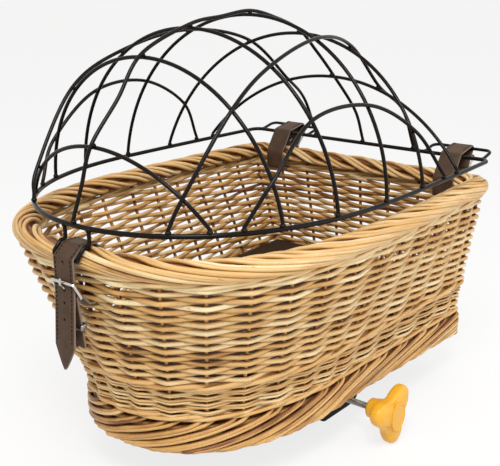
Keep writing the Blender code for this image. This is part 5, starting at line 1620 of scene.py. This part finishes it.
class BASKET_OT_set_stage(bpy.types.Operator):
    """Set the floor, the soft studio light and the camera"""

    bl_idname = "basket.set_stage"
    bl_label = "Set the Stage"

    def execute(self, context):
        settings = context.scene.basket_stage
        self.floor(settings)
        self.world(settings)
        area_light("key_light", KEY_PLACE, settings.key_power, KEY_SIZE)
        area_light("fill_light", FILL_PLACE, settings.fill_power, FILL_SIZE)
        self.camera(context.scene)
        context.scene.view_settings.view_transform = "Standard"
        return {"FINISHED"}

    @staticmethod
    def floor(settings):
        """A large pale floor under the clamp."""
        shape = bmesh.new()
        bmesh.ops.create_grid(shape, x_segments=8, y_segments=8, size=FLOOR_SIZE)
        bmesh.ops.translate(shape, vec=(0.0, 0.0, FLOOR_Z), verts=shape.verts)
        material = bpy.data.materials.new("matt white studio floor")
        material.use_nodes = True
        tree = material.node_tree
        tree.nodes.clear()
        matt = add_node(tree, "ShaderNodeBsdfDiffuse", inputs={"Color": (*settings.floor, 1.0)})
        glow = add_node(tree, "ShaderNodeEmission", inputs={"Color": WHITE, "Strength": 1.0})
        share = add_node(tree, "ShaderNodeMath", {"operation": "MULTIPLY"},
                         {0: shown_plain(tree), 1: FLOOR_GLOW})
        mixed = add_node(tree, "ShaderNodeMixShader", inputs={0: share.outputs[0], 1: matt.outputs[0],
                                                              2: glow.outputs[0]})
        add_node(tree, "ShaderNodeOutputMaterial", inputs={"Surface": mixed.outputs[0]})
        as_object("studio_floor", mesh_of(shape, "studio_floor"), material)

    @staticmethod
    def world(settings):
        """White surroundings that light the object softly, more from above."""
        world = bpy.data.worlds.new("white studio")
        world.use_nodes = True
        tree = world.node_tree
        tree.nodes.clear()
        ray = add_node(tree, "ShaderNodeTexCoord").outputs["Generated"]
        height = add_node(tree, "ShaderNodeSeparateXYZ", inputs={"Vector": ray}).outputs["Z"]
        sky = mapped(tree, height, *(settings.ambient * share for share in SKY_SHARES), *SKY_HEIGHTS)
        strength = mapped(tree, shown_plain(tree), sky, 1.0)
        surround = add_node(tree, "ShaderNodeBackground", inputs={"Color": WHITE, "Strength": strength})
        add_node(tree, "ShaderNodeOutputWorld", inputs={"Surface": surround.outputs[0]})
        bpy.context.scene.world = world

    @staticmethod
    def camera(scene):
        """The camera at the photograph's angle."""
        azimuth, elevation = math.radians(CAMERA_AZIMUTH_DEG), math.radians(CAMERA_ELEVATION_DEG)
        roll = math.radians(CAMERA_ROLL_DEG)
        back = Vector((math.sin(azimuth) * math.cos(elevation), -math.cos(azimuth) * math.cos(elevation),
                       math.sin(elevation)))
        right = (-back).cross(Vector((0.0, 0.0, 1.0))).normalized()
        up = right.cross(-back)
        tilted_right = right * math.cos(roll) + up * math.sin(roll)
        tilted_up = up * math.cos(roll) - right * math.sin(roll)
        camera = bpy.data.cameras.new("camera")
        camera.sensor_width = SENSOR_MM
        camera.lens = CAMERA_LENS_MM
        camera.clip_start = CAMERA_NEAR
        thing = bpy.data.objects.new("camera", camera)
        turn = Matrix((tilted_right, tilted_up, back)).transposed()
        thing.matrix_world = Matrix.Translation(CAMERA_PLACE) @ turn.to_4x4()
        scene.collection.objects.link(thing)
        scene.camera = thing


class BASKET_PT_panel(bpy.types.Panel):
    """Basket tools in the sidebar"""

    bl_label = "Willow Bicycle Basket"
    bl_idname = "BASKET_PT_panel"
    bl_space_type = "VIEW_3D"
    bl_region_type = "UI"
    bl_category = "Basket"

    def draw(self, context):
        for group in GROUPS:
            box = self.layout.box()
            settings = getattr(context.scene, group)
            for name in settings.bl_rna.properties.keys():
                if name not in ("rna_type", "name"):
                    box.prop(settings, name)
        for operator in OPERATORS:
            self.layout.operator(operator.bl_idname)


GROUPS = {"basket_willow": WillowSettings, "basket_dome": DomeSettings, "basket_leather": LeatherSettings,
          "basket_metal": MetalSettings, "basket_stage": StageSettings}
OPERATORS = (BASKET_OT_weave_wall, BASKET_OT_weave_band, BASKET_OT_plait_border, BASKET_OT_plait_foot,
             BASKET_OT_bend_dome, BASKET_OT_cut_straps, BASKET_OT_mould_knob, BASKET_OT_thread_rod,
             BASKET_OT_coat_jaw, BASKET_OT_fold_keeper, BASKET_OT_finish_metal, BASKET_OT_lay_board,
             BASKET_OT_set_stage)
MATERIALS = {}
SLOTS = {"willow": "willow", "band": "pale_willow", "board": "board", "wire": "coated_wire",
         "leather": "leather", "nickel": "nickel", "zinc": "zinc", "enamel": "black_steel", "knob": "yellow"}


def make_materials(scene):
    """Make each finish once, from the colours in the sidebar."""
    willow, dome = scene.basket_willow, scene.basket_dome
    leather, metal = scene.basket_leather, scene.basket_metal
    MATERIALS["willow"] = peeled_willow("peeled buff willow", willow)
    MATERIALS["pale_willow"] = peeled_willow("peeled white willow", willow)
    MATERIALS["leather"] = grained_leather("dyed leather", tuple(leather.leather))
    MATERIALS["board"] = dark_board("dark hardboard", tuple(metal.board))
    nickel = tuple(metal.nickel)
    for key, name, colour, finish, *texture in (
            # Dipped: a smooth dark coat with a soft gloss
            ("wire", "plastic-coated steel wire", dome.coating,
             {"Roughness": 0.2, "IOR": 1.45, "Specular IOR Level": 0.16}, 1.0, 0.02),
            # Twisted and waxed: a dull line of small stitches
            ("thread", "waxed thread", leather.thread,
             {"Roughness": 0.6, "IOR": 1.5, "Specular IOR Level": 0.15}, 0.3, 0.05),
            # Polished before plating: a bright, nearly clean mirror
            ("nickel", "nickel-plated steel", nickel, {"Metallic": 1.0, "Roughness": 0.22}, 0.6, 0.01),
            # The same, dulled by wear and shade: a grey sheen
            ("dark_nickel", "dulled nickel-plated steel", blended(nickel, (0, 0, 0), 0.5),
             {"Metallic": 1.0, "Roughness": 0.35}, 0.6, 0.01),
            # Plated over rolled steel: grey satin
            ("zinc", "zinc-plated steel", metal.zinc, {"Metallic": 1.0, "Roughness": 0.36}, 0.8, 0.02),
            # Sprayed as powder and baked: deep black with a faint orange peel
            ("enamel", "powder-coated steel", metal.enamel,
             {"Roughness": 0.26, "IOR": 1.45, "Specular IOR Level": 0.05}, 0.8, 0.03),
            # Moulded in colour: an even, half-glossy yellow
            ("knob", "moulded ABS", metal.knob, {"Roughness": 0.36, "IOR": 1.53}, 0.7, 0.03, 0.05)):
        MATERIALS[key] = speckled(name, tuple(colour), finish, *texture)


def register():
    """Register the settings, the tools and the panel."""
    for group, kind in GROUPS.items():
        bpy.utils.register_class(kind)
        setattr(bpy.types.Scene, group, PointerProperty(type=kind))
    for kind in (*OPERATORS, BASKET_PT_panel):
        bpy.utils.register_class(kind)


def unregister():
    """Take the settings, the tools and the panel away."""
    for kind in (BASKET_PT_panel, *reversed(OPERATORS)):
        bpy.utils.unregister_class(kind)
    for group, kind in reversed(GROUPS.items()):
        delattr(bpy.types.Scene, group)
        bpy.utils.unregister_class(kind)


def main():
    """Build every piece."""
    register()
    make_materials(bpy.context.scene)
    for operator in OPERATORS:
        group, name = operator.bl_idname.split(".")
        getattr(getattr(bpy.ops, group), name)()


if __name__ == "__main__":
    main()
